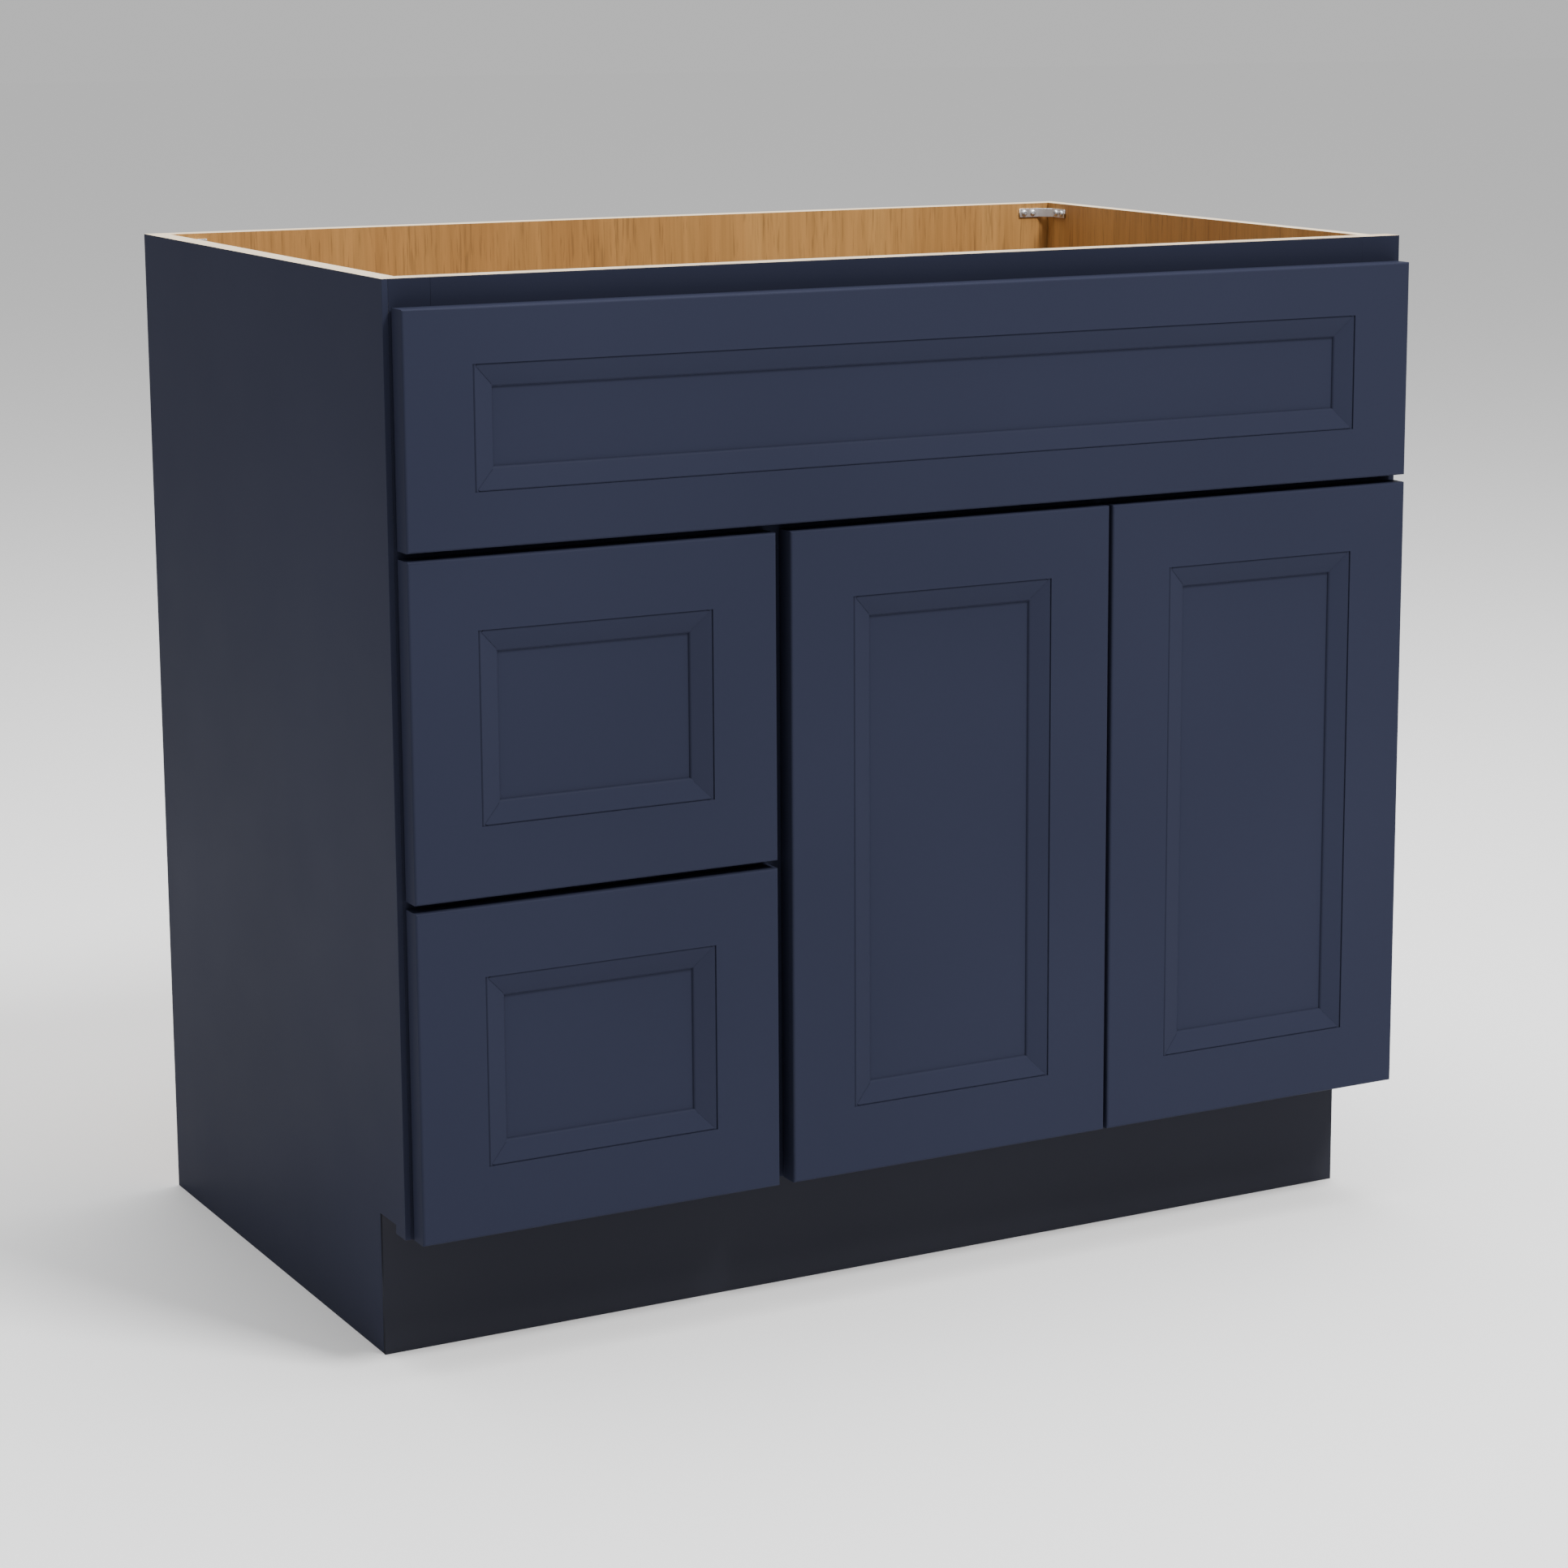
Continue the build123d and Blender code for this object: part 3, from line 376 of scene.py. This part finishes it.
def loose_parts(work):
    """The separate shells of a bmesh, as lists of vertices, in the order of their first vertices."""
    left = set(work.verts)
    parts = []
    for first in work.verts:
        if first not in left:
            continue
        left.remove(first)
        stack = [first]
        part = []
        while stack:
            vertex = stack.pop()
            part.append(vertex)
            for edge in vertex.link_edges:
                other = edge.other_vert(vertex)
                if other in left:
                    left.remove(other)
                    stack.append(other)
        parts.append(part)
    return parts


def evaluated_mesh(piece):
    """A plain mesh of an object with its modifiers worked in."""
    bpy.context.view_layer.update()
    graph = bpy.context.evaluated_depsgraph_get()
    return bpy.data.meshes.new_from_object(piece.evaluated_get(graph))


def plain(piece):
    """Works an object's modifiers into its mesh and takes them off."""
    mesh = evaluated_mesh(piece)
    old = piece.data
    piece.modifiers.clear()
    piece.data = mesh
    mesh.name = piece.name
    bpy.data.meshes.remove(old)
    return piece


def new_piece(name, mesh):
    piece = bpy.data.objects.new(name, mesh)
    bpy.context.scene.collection.objects.link(piece)
    return piece


def refine(node, finishes, rule=None, rounding=0.0, drop=None, crease=33.0, shortest=0.004, broken=None):
    """The finished piece of one CAD node: merged, painted face by face, its long edges broken and its
    normals weighted. rule(normal, centre) gives a face's index in finishes, drop(face) leaves a face out,
    and broken(edge) picks the edges to break where not every sharp one is."""
    work = merged(node)
    if drop:
        bmesh.ops.delete(work, geom=[face for face in work.faces if drop(face)], context="FACES")
    sharp = math.radians(crease)
    weight = work.edges.layers.float.new("bevel_weight_edge")
    for face in work.faces:
        face.smooth = True
        face.material_index = rule(face.normal, face.calc_center_median()) if rule else 0
    for edge in work.edges:
        if len(edge.link_faces) == 2 and edge.calc_face_angle(0) > sharp:
            rounded = rounding > 0 and edge.calc_length() > shortest and (not broken or broken(edge))
            edge[weight] = 1.0 if rounded else 0.0
            edge.smooth = rounded
    mesh = bpy.data.meshes.new(node)
    work.to_mesh(mesh)
    work.free()
    for finish in finishes:
        mesh.materials.append(finish_of(finish))
    piece = new_piece(f"{node}.finished", mesh)
    if rounding > 0:
        bevel = piece.modifiers.new("broken edges", "BEVEL")
        bevel.limit_method = "WEIGHT"
        bevel.width = rounding
        bevel.segments = 2
        bevel.use_clamp_overlap = True
    weighted = piece.modifiers.new("weighted normals", "WEIGHTED_NORMAL")
    weighted.keep_sharp = True
    plain(piece)
    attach(piece, BODY_OF[node])
    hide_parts(node)
    return piece


def lathe(profile, steps):
    """A closed mesh turned about Z from (radius, height) pairs; the first and last radius are 0."""
    work = bmesh.new()
    rings = []
    for radius, height in profile:
        if radius == 0:
            rings.append([work.verts.new((0, 0, height))])
        else:
            rings.append([work.verts.new((radius * math.cos(2 * math.pi * step / steps),
                                          radius * math.sin(2 * math.pi * step / steps), height))
                          for step in range(steps)])
    for lower, upper in zip(rings, rings[1:]):
        for step in range(steps):
            after = (step + 1) % steps
            corners = [lower[step % len(lower)], lower[after % len(lower)],
                       upper[after % len(upper)], upper[step % len(upper)]]
            corners = list(dict.fromkeys(corners))
            if len(corners) > 2:
                work.faces.new(corners)
    bmesh.ops.recalc_face_normals(work, faces=work.faces)
    return work


def make_tree(name, inputs):
    """An empty Geometry Nodes tree with a Geometry input and output and the named inputs."""
    tree = bpy.data.node_groups.new(name, "GeometryNodeTree")
    tree.interface.new_socket("Geometry", in_out="INPUT", socket_type="NodeSocketGeometry")
    tree.interface.new_socket("Geometry", in_out="OUTPUT", socket_type="NodeSocketGeometry")
    for label, kind, default in inputs:
        socket = tree.interface.new_socket(label, in_out="INPUT", socket_type=kind)
        if default is not None:
            socket.default_value = default
    return tree


def set_inputs(modifier, values):
    """Sets a Geometry Nodes modifier's inputs by their sockets' identifiers."""
    identifiers = {item.name: item.identifier for item in modifier.node_group.interface.items_tree
                   if item.item_type == "SOCKET" and item.in_out == "INPUT"}
    for label, value in values.items():
        modifier[identifiers[label]] = value


def wire(tree, *pairs):
    for source, target in pairs:
        tree.links.new(source, target)


# ---------------------------------------------------------------- screws
def extent(points):
    return Vector(map(min, zip(*points))), Vector(map(max, zip(*points)))


def off_axis(point, centre, axis):
    """Distance of a point from a line through centre along an axis."""
    return math.hypot(*(point[other] - centre[other] for other in range(3) if other != axis))


def describe_screw(points, axis):
    """A screw's (surface point, direction, head radius, head height, shank length) from its corners."""
    low, high = extent(points)
    centre = (low + high) / 2
    radius = max(off_axis(point, centre, axis) for point in points)
    rim = [point[axis] for point in points if off_axis(point, centre, axis) > radius * 0.9]
    head = max(rim) - min(rim)
    sign = 1 if (min(rim) + max(rim)) / 2 < centre[axis] else -1
    surface = centre.copy()
    surface[axis] = max(rim) if sign > 0 else min(rim)
    direction = Vector((0, 0, 0))
    direction[axis] = sign
    return surface, direction, radius, head, high[axis] - low[axis] - head


def screw_heads(node):
    """Every screw of a node that holds only screws; a screw's axis is its longest side."""
    work = merged(node)
    found = []
    for part in loose_parts(work):
        points = [vertex.co.copy() for vertex in part]
        low, high = extent(points)
        axis = max(range(3), key=lambda index: high[index] - low[index])
        found.append(describe_screw(points, axis))
    work.free()
    return found


def cup_screw_heads(node):
    """The screws of a hinge cup's flange: their heads stand furthest back, their corners touch the flange."""
    work = merged(node)
    points = [vertex.co.copy() for vertex in work.verts]
    work.free()
    back = max(point.y for point in points)
    heads = []
    for point in (p for p in points if p.y > back - 0.2 * MM):
        for head in heads:
            if (head[0] - point).length < 8 * MM:
                head.append(point)
                break
        else:
            heads.append([point])
    found = []
    for head in heads:
        low, high = extent(head)
        centre = (low + high) / 2
        near = [point for point in points if off_axis(point, centre, 1) < 3.4 * MM]
        found.append(describe_screw(near, 1))
    return found


def screw_mesh(radius, head, shank):
    """A pan-head wood screw along -Z, its head's seat at the origin, with a cross recess and a thread."""
    hardware = settings().hardware
    crest, root = 1.8 * MM, 1.25 * MM
    pitch = hardware.thread_pitch
    profile = [(0, head), (radius * 0.55, head * 0.98), (radius * 0.82, head * 0.80), (radius * 0.97, head * 0.45),
               (radius, head * 0.15), (radius * 0.98, 0), (crest, 0), (crest, -1.2 * MM)]
    depth = 1.2 * MM
    while depth + pitch < shank - 2.5 * MM:
        profile += [(root, -(depth + pitch * 0.3)), (root, -(depth + pitch * 0.6)), (crest, -(depth + pitch))]
        depth += pitch
    profile += [(root, -(depth + pitch * 0.4)), (0, -shank)]
    work = lathe(profile, 20)
    for face in work.faces:
        face.smooth = True
    for edge in work.edges:
        edge.smooth = len(edge.link_faces) < 2 or edge.calc_face_angle(0) < math.radians(40)
    mesh = bpy.data.meshes.new("screw body")
    work.to_mesh(mesh)
    work.free()
    body = new_piece("screw body", mesh)
    arm, reach, deep = hardware.recess / 2, radius * 0.62, head * 0.62
    cutters = []
    for wide, tall in ((reach, arm), (arm, reach)):
        cutter_mesh = bpy.data.meshes.new("recess")
        cutter_work = bmesh.new()
        top = [cutter_work.verts.new((x, y, head * 1.3)) for x, y in
               ((-wide, -tall), (wide, -tall), (wide, tall), (-wide, tall))]
        low = [cutter_work.verts.new((x * 0.8, y * 0.8, head - deep)) for x, y in
               ((-wide, -tall), (wide, -tall), (wide, tall), (-wide, tall))]
        cutter_work.faces.new(top)
        cutter_work.faces.new(low[::-1])
        for corner in range(4):
            after = (corner + 1) % 4
            cutter_work.faces.new((top[after], top[corner], low[corner], low[after]))
        bmesh.ops.recalc_face_normals(cutter_work, faces=cutter_work.faces)
        cutter_work.to_mesh(cutter_mesh)
        cutter_work.free()
        cutter = new_piece("recess", cutter_mesh)
        cutters.append(cutter)
        cut = body.modifiers.new("recess", "BOOLEAN")
        cut.operation = "DIFFERENCE"
        cut.solver = "EXACT"
        cut.object = cutter
    plain(body)
    result = body.data
    bpy.data.objects.remove(body)
    for cutter in cutters:
        bpy.data.objects.remove(cutter)
    return result


def screw_tree():
    """Points become screws: each is turned to its point's direction and a little at random about it."""
    tree = make_tree("screws on points", [
        ("Screw", "NodeSocketObject", None), ("Turn", "NodeSocketFloat", math.pi), ("Seed", "NodeSocketInt", 7),
        ("Finish", "NodeSocketMaterial", None)])
    new = tree.nodes.new
    start, end = new("NodeGroupInput"), new("NodeGroupOutput")
    direction = new("GeometryNodeInputNamedAttribute")
    direction.data_type = "FLOAT_VECTOR"
    direction.inputs["Name"].default_value = "direction"
    align = new("FunctionNodeAlignRotationToVector")
    align.axis = "Z"
    spin = new("FunctionNodeRandomValue")
    spin.data_type = "FLOAT"
    turn = new("FunctionNodeAxisAngleToRotation")
    turn.inputs["Axis"].default_value = (0, 0, 1)
    rotate = new("FunctionNodeRotateRotation")
    rotate.rotation_space = "LOCAL"
    screw = new("GeometryNodeObjectInfo")
    place = new("GeometryNodeInstanceOnPoints")
    realize = new("GeometryNodeRealizeInstances")
    finish = new("GeometryNodeSetMaterial")
    spin_low = next(s for s in spin.inputs if s.name == "Min" and s.type == "VALUE")
    spin_high = next(s for s in spin.inputs if s.name == "Max" and s.type == "VALUE")
    spin_value = next(s for s in spin.outputs if s.type == "VALUE")
    spin_low.default_value = 0.0
    wire(tree,
         (start.outputs["Turn"], spin_high),
         (start.outputs["Seed"], spin.inputs["Seed"]),
         (direction.outputs["Attribute"], align.inputs["Vector"]),
         (spin_value, turn.inputs["Angle"]),
         (align.outputs["Rotation"], rotate.inputs["Rotation"]),
         (turn.outputs["Rotation"], rotate.inputs["Rotate By"]),
         (start.outputs["Screw"], screw.inputs["Object"]),
         (start.outputs["Geometry"], place.inputs["Points"]),
         (screw.outputs["Geometry"], place.inputs["Instance"]),
         (rotate.outputs["Rotation"], place.inputs["Rotation"]),
         (place.outputs["Instances"], realize.inputs["Geometry"]),
         (realize.outputs["Geometry"], finish.inputs["Geometry"]),
         (start.outputs["Finish"], finish.inputs["Material"]),
         (finish.outputs["Geometry"], end.inputs["Geometry"]))
    return tree


def place_screws(name, heads, body):
    """Screws as one plain mesh that rides on a body."""
    kinds = {}
    for point, direction, radius, head, shank in heads:
        key = (round(radius, 5), round(head, 5), round(shank, 5))
        kinds.setdefault(key, []).append((point, direction))
    made = []
    for number, (key, places) in enumerate(sorted(kinds.items())):
        pattern = new_piece("screw pattern", screw_mesh(*key))
        mesh = bpy.data.meshes.new(name)
        mesh.from_pydata([tuple(point) for point, _ in places], [], [])
        attribute = mesh.attributes.new("direction", "FLOAT_VECTOR", "POINT")
        for index, (_, direction) in enumerate(places):
            attribute.data[index].vector = -direction
        piece = new_piece(f"{name}.{number}", mesh)
        modifier = piece.modifiers.new("screws", "NODES")
        modifier.node_group = bpy.data.node_groups.get("screws on points") or screw_tree()
        set_inputs(modifier, {"Screw": pattern, "Turn": math.pi, "Seed": settings().hardware.seed,
                              "Finish": finish_of("steel")})
        plain(piece)
        bpy.data.objects.remove(pattern)
        made.append(piece)
    whole = joined(name, made)
    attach(whole, body)
    return whole


def joined(name, pieces):
    """One object from several that share their finish."""
    work = bmesh.new()
    for piece in pieces:
        work.from_mesh(piece.data)
    mesh = bpy.data.meshes.new(name)
    work.to_mesh(mesh)
    work.free()
    for material in pieces[0].data.materials:
        mesh.materials.append(material)
    for piece in pieces:
        bpy.data.objects.remove(piece)
    return new_piece(name, mesh)


# ---------------------------------------------------------------- ball cages
def cage_tree():
    """A line becomes a cage strip with a row of balls in it."""
    tree = make_tree("balls in a cage", [
        ("Ball Diameter", "NodeSocketFloat", 0.0034), ("Spacing", "NodeSocketFloat", 0.0125),
        ("Strip Width", "NodeSocketFloat", 0.0038), ("Strip Thickness", "NodeSocketFloat", 0.0006),
        ("Finish", "NodeSocketMaterial", None)])
    new = tree.nodes.new
    start, end = new("NodeGroupInput"), new("NodeGroupOutput")
    to_curve = new("GeometryNodeMeshToCurve")
    spread = new("GeometryNodeResampleCurve")
    spread.mode = "LENGTH"
    half = new("ShaderNodeMath")
    half.operation = "MULTIPLY"
    half.inputs[1].default_value = 0.5
    ball = new("GeometryNodeMeshIcoSphere")
    ball.inputs["Subdivisions"].default_value = 2
    smooth = new("GeometryNodeSetShadeSmooth")
    place = new("GeometryNodeInstanceOnPoints")
    outline = new("GeometryNodeCurvePrimitiveQuadrilateral")
    strip = new("GeometryNodeCurveToMesh")
    strip.inputs["Fill Caps"].default_value = True
    join = new("GeometryNodeJoinGeometry")
    realize = new("GeometryNodeRealizeInstances")
    finish = new("GeometryNodeSetMaterial")
    wire(tree,
         (start.outputs["Geometry"], to_curve.inputs["Mesh"]),
         (to_curve.outputs["Curve"], spread.inputs["Curve"]),
         (start.outputs["Spacing"], spread.inputs["Length"]),
         (start.outputs["Ball Diameter"], half.inputs[0]),
         (half.outputs["Value"], ball.inputs["Radius"]),
         (ball.outputs["Mesh"], smooth.inputs["Geometry"]),
         (spread.outputs["Curve"], place.inputs["Points"]),
         (smooth.outputs["Geometry"], place.inputs["Instance"]),
         (start.outputs["Strip Width"], outline.inputs["Width"]),
         (start.outputs["Strip Thickness"], outline.inputs["Height"]),
         (to_curve.outputs["Curve"], strip.inputs["Curve"]),
         (outline.outputs["Curve"], strip.inputs["Profile Curve"]),
         (strip.outputs["Mesh"], join.inputs["Geometry"]),
         (place.outputs["Instances"], join.inputs["Geometry"]),
         (join.outputs["Geometry"], realize.inputs["Geometry"]),
         (realize.outputs["Geometry"], finish.inputs["Geometry"]),
         (start.outputs["Finish"], finish.inputs["Material"]),
         (finish.outputs["Geometry"], end.inputs["Geometry"]))
    return tree


def place_balls(drawer):
    """The ball cages of one drawer's two slides, between the members that always overlap."""
    low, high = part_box(f"{drawer}_slide_middle_members")
    drawer_low, drawer_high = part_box(f"{drawer}_slide_drawer_members")
    middle_z = (low.z + high.z) / 2
    half_travel, end_margin = 0.225, 8 * MM
    outer_depth, inner_depth = 2.7 * MM, 4.8 * MM
    middle_half, drawer_half = (high.z - low.z) / 2, (drawer_high.z - drawer_low.z) / 2
    outer_z = middle_half + 1.9 * MM
    inner_z = (middle_half - 1.2 * MM + drawer_half) / 2
    rows = []
    for side, edge in ((1, low.x), (-1, high.x)):
        for z_offset, x_offset, start, end in (
                (outer_z, outer_depth, low.y + half_travel, high.y - end_margin),
                (inner_z, inner_depth, low.y + end_margin, low.y + half_travel)):
            for up in (-1, 1):
                x, z = edge + side * x_offset, middle_z + up * z_offset
                rows.append(((x, start, z), (x, end, z)))
    mesh = bpy.data.meshes.new(f"{drawer} ball cages")
    mesh.from_pydata([point for row in rows for point in row], [(2 * n, 2 * n + 1) for n in range(len(rows))], [])
    piece = new_piece(f"{drawer}_slide_ball_cages", mesh)
    modifier = piece.modifiers.new("ball cages", "NODES")
    modifier.node_group = bpy.data.node_groups.get("balls in a cage") or cage_tree()
    hardware = settings().hardware
    set_inputs(modifier, {"Ball Diameter": hardware.ball, "Spacing": hardware.ball_gap,
                          "Strip Width": 3.8 * MM, "Strip Thickness": 0.6 * MM, "Finish": finish_of("steel")})
    plain(piece)
    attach(piece, f"{drawer}_slides")
    return piece


# ---------------------------------------------------------------- face rules
def sheet_rule(axis, painted=None):
    """Veneer (0) on a sheet's two faces, plies (1) on its edges, paint (2) on the painted direction."""
    def rule(normal, centre):
        if painted is not None and normal.dot(painted) > 0.9:
            return 2
        return 0 if abs(normal[axis]) > 0.9 else 1
    return rule


def frame_rule(normal, centre):
    """Navy darkened as painted shade (0) on the face frame's front, outer edges and opening edges, raw maple (1)
    behind and on top.
    """
    if normal.y > 0.5 or (normal.z > 0.5 and centre.z > HIGH.z - 2 * MM):
        return 1
    return 0


# ---------------------------------------------------------------- operators
class VANITY_OT_boards(bpy.types.Operator):
    """Plywood sides, back, floor, partition, toe board and packing boards"""
    bl_idname = "vanity.boards"
    bl_label = "Plywood boards"

    def execute(self, context):
        rounding = settings().wood.rounding
        grain = {"left_side_panel": (0, "z"), "back_panel": (1, "z"), "partition_panel": (0, "z"),
                 "floor_panel": (2, "x"), "toe_kick_board": (1, "x"), "slide_packing_boards": (0, "y")}
        for node, (axis, along) in grain.items():
            piece = refine(node, [f"veneer {along}", f"plies {'xyz'[axis]}"], sheet_rule(axis), rounding)
        piece = refine("right_side_panel", ["veneer z", "plies x", "navy"],
                       sheet_rule(0, painted=Vector((1, 0, 0))), rounding)
        return {"FINISHED"}


class VANITY_OT_face_frame(bpy.types.Operator):
    """Stiles, rails and mullion of the face frame, painted in front in navy darkened as painted shade, and raw
    behind
    """
    bl_idname = "vanity.face_frame"
    bl_label = "Face frame"

    def execute(self, context):
        grain = {"left_stile": "z", "right_stile": "z", "centre_mullion": "z", "top_rail": "x",
                 "sink_rail": "x", "bottom_rail": "x", "drawer_rail": "x"}
        for node, along in grain.items():
            # the frame finish is the navy darkened as painted shade
            piece = refine(node, ["frame", f"solid {along}"], frame_rule, 0.25 * MM)
        return {"FINISHED"}


class VANITY_OT_painted_skins(bpy.types.Operator):
    """Finished left end and toe kick skin"""
    bl_idname = "vanity.painted_skins"
    bl_label = "Painted skins"

    def execute(self, context):
        def end_rule(normal, centre):
            return 0 if normal.x < -0.5 or normal.y < -0.5 else 1
        piece = refine("left_end_skin", ["navy", "plies x"], end_rule, 0.3 * MM)
        piece = refine("toe_kick_skin", ["toe"], None, 0.3 * MM)
        return {"FINISHED"}


def is_mitre(edge):
    """An edge on a rail's bevel that runs diagonally, where it meets the stile's bevel."""
    run = edge.verts[1].co - edge.verts[0].co
    return abs(run.x) > 0.5 * MM and abs(run.z) > 0.5 * MM


def paint_front(prefix):
    """The stiles, rails and panel of one front; the paint leaves a hairline at the mitres."""
    refine(f"{prefix}_stiles", ["navy"])
    refine(f"{prefix}_panel", ["navy"])
    refine(f"{prefix}_rails", ["navy"], rounding=0.8 * MM, shortest=0.0005, broken=is_mitre)


class VANITY_OT_false_front(bpy.types.Operator):
    """The fixed front over the sink bay"""
    bl_idname = "vanity.false_front"
    bl_label = "False front"

    def execute(self, context):
        paint_front("false_front")
        return {"FINISHED"}


class VANITY_OT_drawer_fronts(bpy.types.Operator):
    """The fronts of both drawers"""
    bl_idname = "vanity.drawer_fronts"
    bl_label = "Drawer fronts"

    def execute(self, context):
        for drawer in ("upper", "lower"):
            paint_front(f"{drawer}_drawer_front")
        return {"FINISHED"}


class VANITY_OT_doors(bpy.types.Operator):
    """Both doors"""
    bl_idname = "vanity.doors"
    bl_label = "Doors"

    def execute(self, context):
        for door in ("left", "right"):
            paint_front(f"{door}_door")
        return {"FINISHED"}


class VANITY_OT_drawer_boxes(bpy.types.Operator):
    """Dovetailed drawer boxes with their plywood bottoms"""
    bl_idname = "vanity.drawer_boxes"
    bl_label = "Drawer boxes"

    def execute(self, context):
        wood = settings().wood
        for drawer in ("upper", "lower"):
            for part, finishes, rounding in (("sides", ["solid y"], wood.box_rounding),
                                             ("ends", ["solid x"], wood.box_rounding),
                                             ("bottom", ["veneer y"], 0.0)):
                piece = refine(f"{drawer}_drawer_box_{part}", finishes, None, rounding)
        return {"FINISHED"}


class VANITY_OT_slides(bpy.types.Operator):
    """Ball-bearing slides: folded members and ball cages"""
    bl_idname = "vanity.slides"
    bl_label = "Drawer slides"

    def execute(self, context):
        nodes = ["slide_cabinet_members"]
        for drawer in ("upper", "lower"):
            nodes += [f"{drawer}_slide_middle_members", f"{drawer}_slide_drawer_members"]
            place_balls(drawer)
        for node in nodes:
            refine(node, ["steel"], None, 0.45 * MM, shortest=0.01)
        return {"FINISHED"}


class VANITY_OT_hinges(bpy.types.Operator):
    """Concealed hinges: cups, frame plates and links"""
    bl_idname = "vanity.hinges"
    bl_label = "Hinges"

    def execute(self, context):
        for door in ("left", "right"):
            node = f"{door}_door_hinge_cups"
            heads = cup_screw_heads(node)

            def is_screw(face):
                corners = [vertex.co for vertex in face.verts]
                for point, _, radius, _, _ in heads:
                    away = [off_axis(corner, point, 1) for corner in corners]
                    if max(away) < radius + 0.1 * MM:
                        hole_wall = (max(away) < radius * 0.6
                                     and all(-1.3 * MM < corner.y - point.y < 0.05 * MM for corner in corners))
                        return not hole_wall
                return False
            refine(node, ["steel"], None, 0.25 * MM, is_screw, shortest=0.003)
            place_screws(f"{door}_door_cup_screws", heads, f"{door}_door")
            for part in ("centre_links", "outer_links"):
                refine(f"{door}_hinge_{part}", ["steel"], None, 0.2 * MM, shortest=0.003)
        refine("hinge_frame_plates", ["steel"], None, 0.2 * MM, shortest=0.003)
        return {"FINISHED"}


class VANITY_OT_braces(bpy.types.Operator):
    """Corner braces and the false front's brackets"""
    bl_idname = "vanity.braces"
    bl_label = "Braces and brackets"

    def execute(self, context):
        for node in ("corner_braces", "false_front_brackets"):
            refine(node, ["steel"], None, 0.25 * MM)
        return {"FINISHED"}


class VANITY_OT_screws(bpy.types.Operator):
    """All the screws with cross recesses"""
    bl_idname = "vanity.screws"
    bl_label = "Screws"

    def execute(self, context):
        for node in ("cabinet_screws", "corner_brace_screws", "upper_drawer_screws", "lower_drawer_screws"):
            screws = place_screws(f"{node}.finished", screw_heads(node), BODY_OF[node])
            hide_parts(node)
        return {"FINISHED"}


class VANITY_OT_bumpers(bpy.types.Operator):
    """Soft bumpers behind the doors and drawer fronts"""
    bl_idname = "vanity.bumpers"
    bl_label = "Bumpers"

    def execute(self, context):
        for node in ("left_door_bumpers", "right_door_bumpers", "upper_drawer_bumpers", "lower_drawer_bumpers"):
            refine(node, ["rubber"], None, 0.6 * MM, shortest=0.0)
        return {"FINISHED"}


def area_light(name, place, target, size, power):
    data = bpy.data.lights.new(name, "AREA")
    data.shape = "RECTANGLE"
    data.size, data.size_y = size
    data.energy = power
    light = new_piece(name, data)
    light.location = place
    light.rotation_euler = (Vector(target) - Vector(place)).to_track_quat("-Z", "Y").to_euler()
    return light


class VANITY_OT_stage(bpy.types.Operator):
    """Pale floor, soft light and camera"""
    bl_idname = "vanity.stage"
    bl_label = "Stage"

    def execute(self, context):
        stage = settings().stage
        world = bpy.data.worlds.new("even light")
        bpy.context.scene.world = world
        world.use_nodes = True
        sky = world.node_tree.nodes["Background"]
        sky.inputs["Color"].default_value = (1, 1, 1, 1)
        sky.inputs["Strength"].default_value = stage.sky
        mesh = bpy.data.meshes.new("floor")
        reach = 30.0
        mesh.from_pydata([(-reach, -reach, 0), (reach, -reach, 0), (reach, reach, 0), (-reach, reach, 0)], [],
                         [(0, 1, 2, 3)])
        floor = new_piece("floor", mesh)
        surface = Surface("pale floor")
        surface.shader.inputs["Base Color"].default_value = (*stage.floor, 1)
        surface.shader.inputs["Roughness"].default_value = 0.9
        surface.shader.inputs["Specular IOR Level"].default_value = 0.0
        mesh.materials.append(surface.material)
        middle = (0, 0, 0.4)
        area_light("key", KEY_PLACE, middle, KEY_SIZE, stage.key)
        area_light("top", TOP_PLACE, middle, TOP_SIZE, stage.top)
        data = bpy.data.cameras.new("camera")
        data.lens = stage.lens
        data.sensor_width = 36.0
        data.shift_x, data.shift_y = CAMERA_SHIFT
        camera = new_piece("camera", data)
        camera.location = CAMERA_PLACE
        camera.rotation_euler = (math.pi / 2 - CAMERA_DOWN, 0, CAMERA_TURN)
        bpy.context.scene.camera = camera
        return {"FINISHED"}


class VANITY_PT_sidebar(bpy.types.Panel):
    """Lists the steps that build the cabinet's finished pieces"""
    bl_idname = "VANITY_PT_sidebar"
    bl_label = "Vanity Cabinet"
    bl_space_type = "VIEW_3D"
    bl_region_type = "UI"
    bl_category = "Vanity"

    def draw(self, context):
        for step in STEPS:
            self.layout.operator(step.bl_idname)


STEPS = (VANITY_OT_boards, VANITY_OT_face_frame, VANITY_OT_painted_skins, VANITY_OT_false_front,
         VANITY_OT_drawer_fronts, VANITY_OT_doors, VANITY_OT_drawer_boxes, VANITY_OT_slides,
         VANITY_OT_hinges, VANITY_OT_braces, VANITY_OT_screws, VANITY_OT_bumpers, VANITY_OT_stage)
CLASSES = (PaintSettings, WoodSettings, HardwareSettings, StageSettings, VanitySettings, *STEPS,
           VANITY_PT_sidebar)


def register():
    for each in CLASSES:
        bpy.utils.register_class(each)
    bpy.types.Scene.vanity = PointerProperty(type=VanitySettings, name="Vanity",
                                             description="Sizes and colours of the cabinet's finish")


def unregister():
    del bpy.types.Scene.vanity
    for each in reversed(CLASSES):
        bpy.utils.unregister_class(each)


def main():
    register()
    for step in STEPS:
        group, name = step.bl_idname.split(".")
        getattr(getattr(bpy.ops, group), name)()


if __name__ == "__main__":
    main()
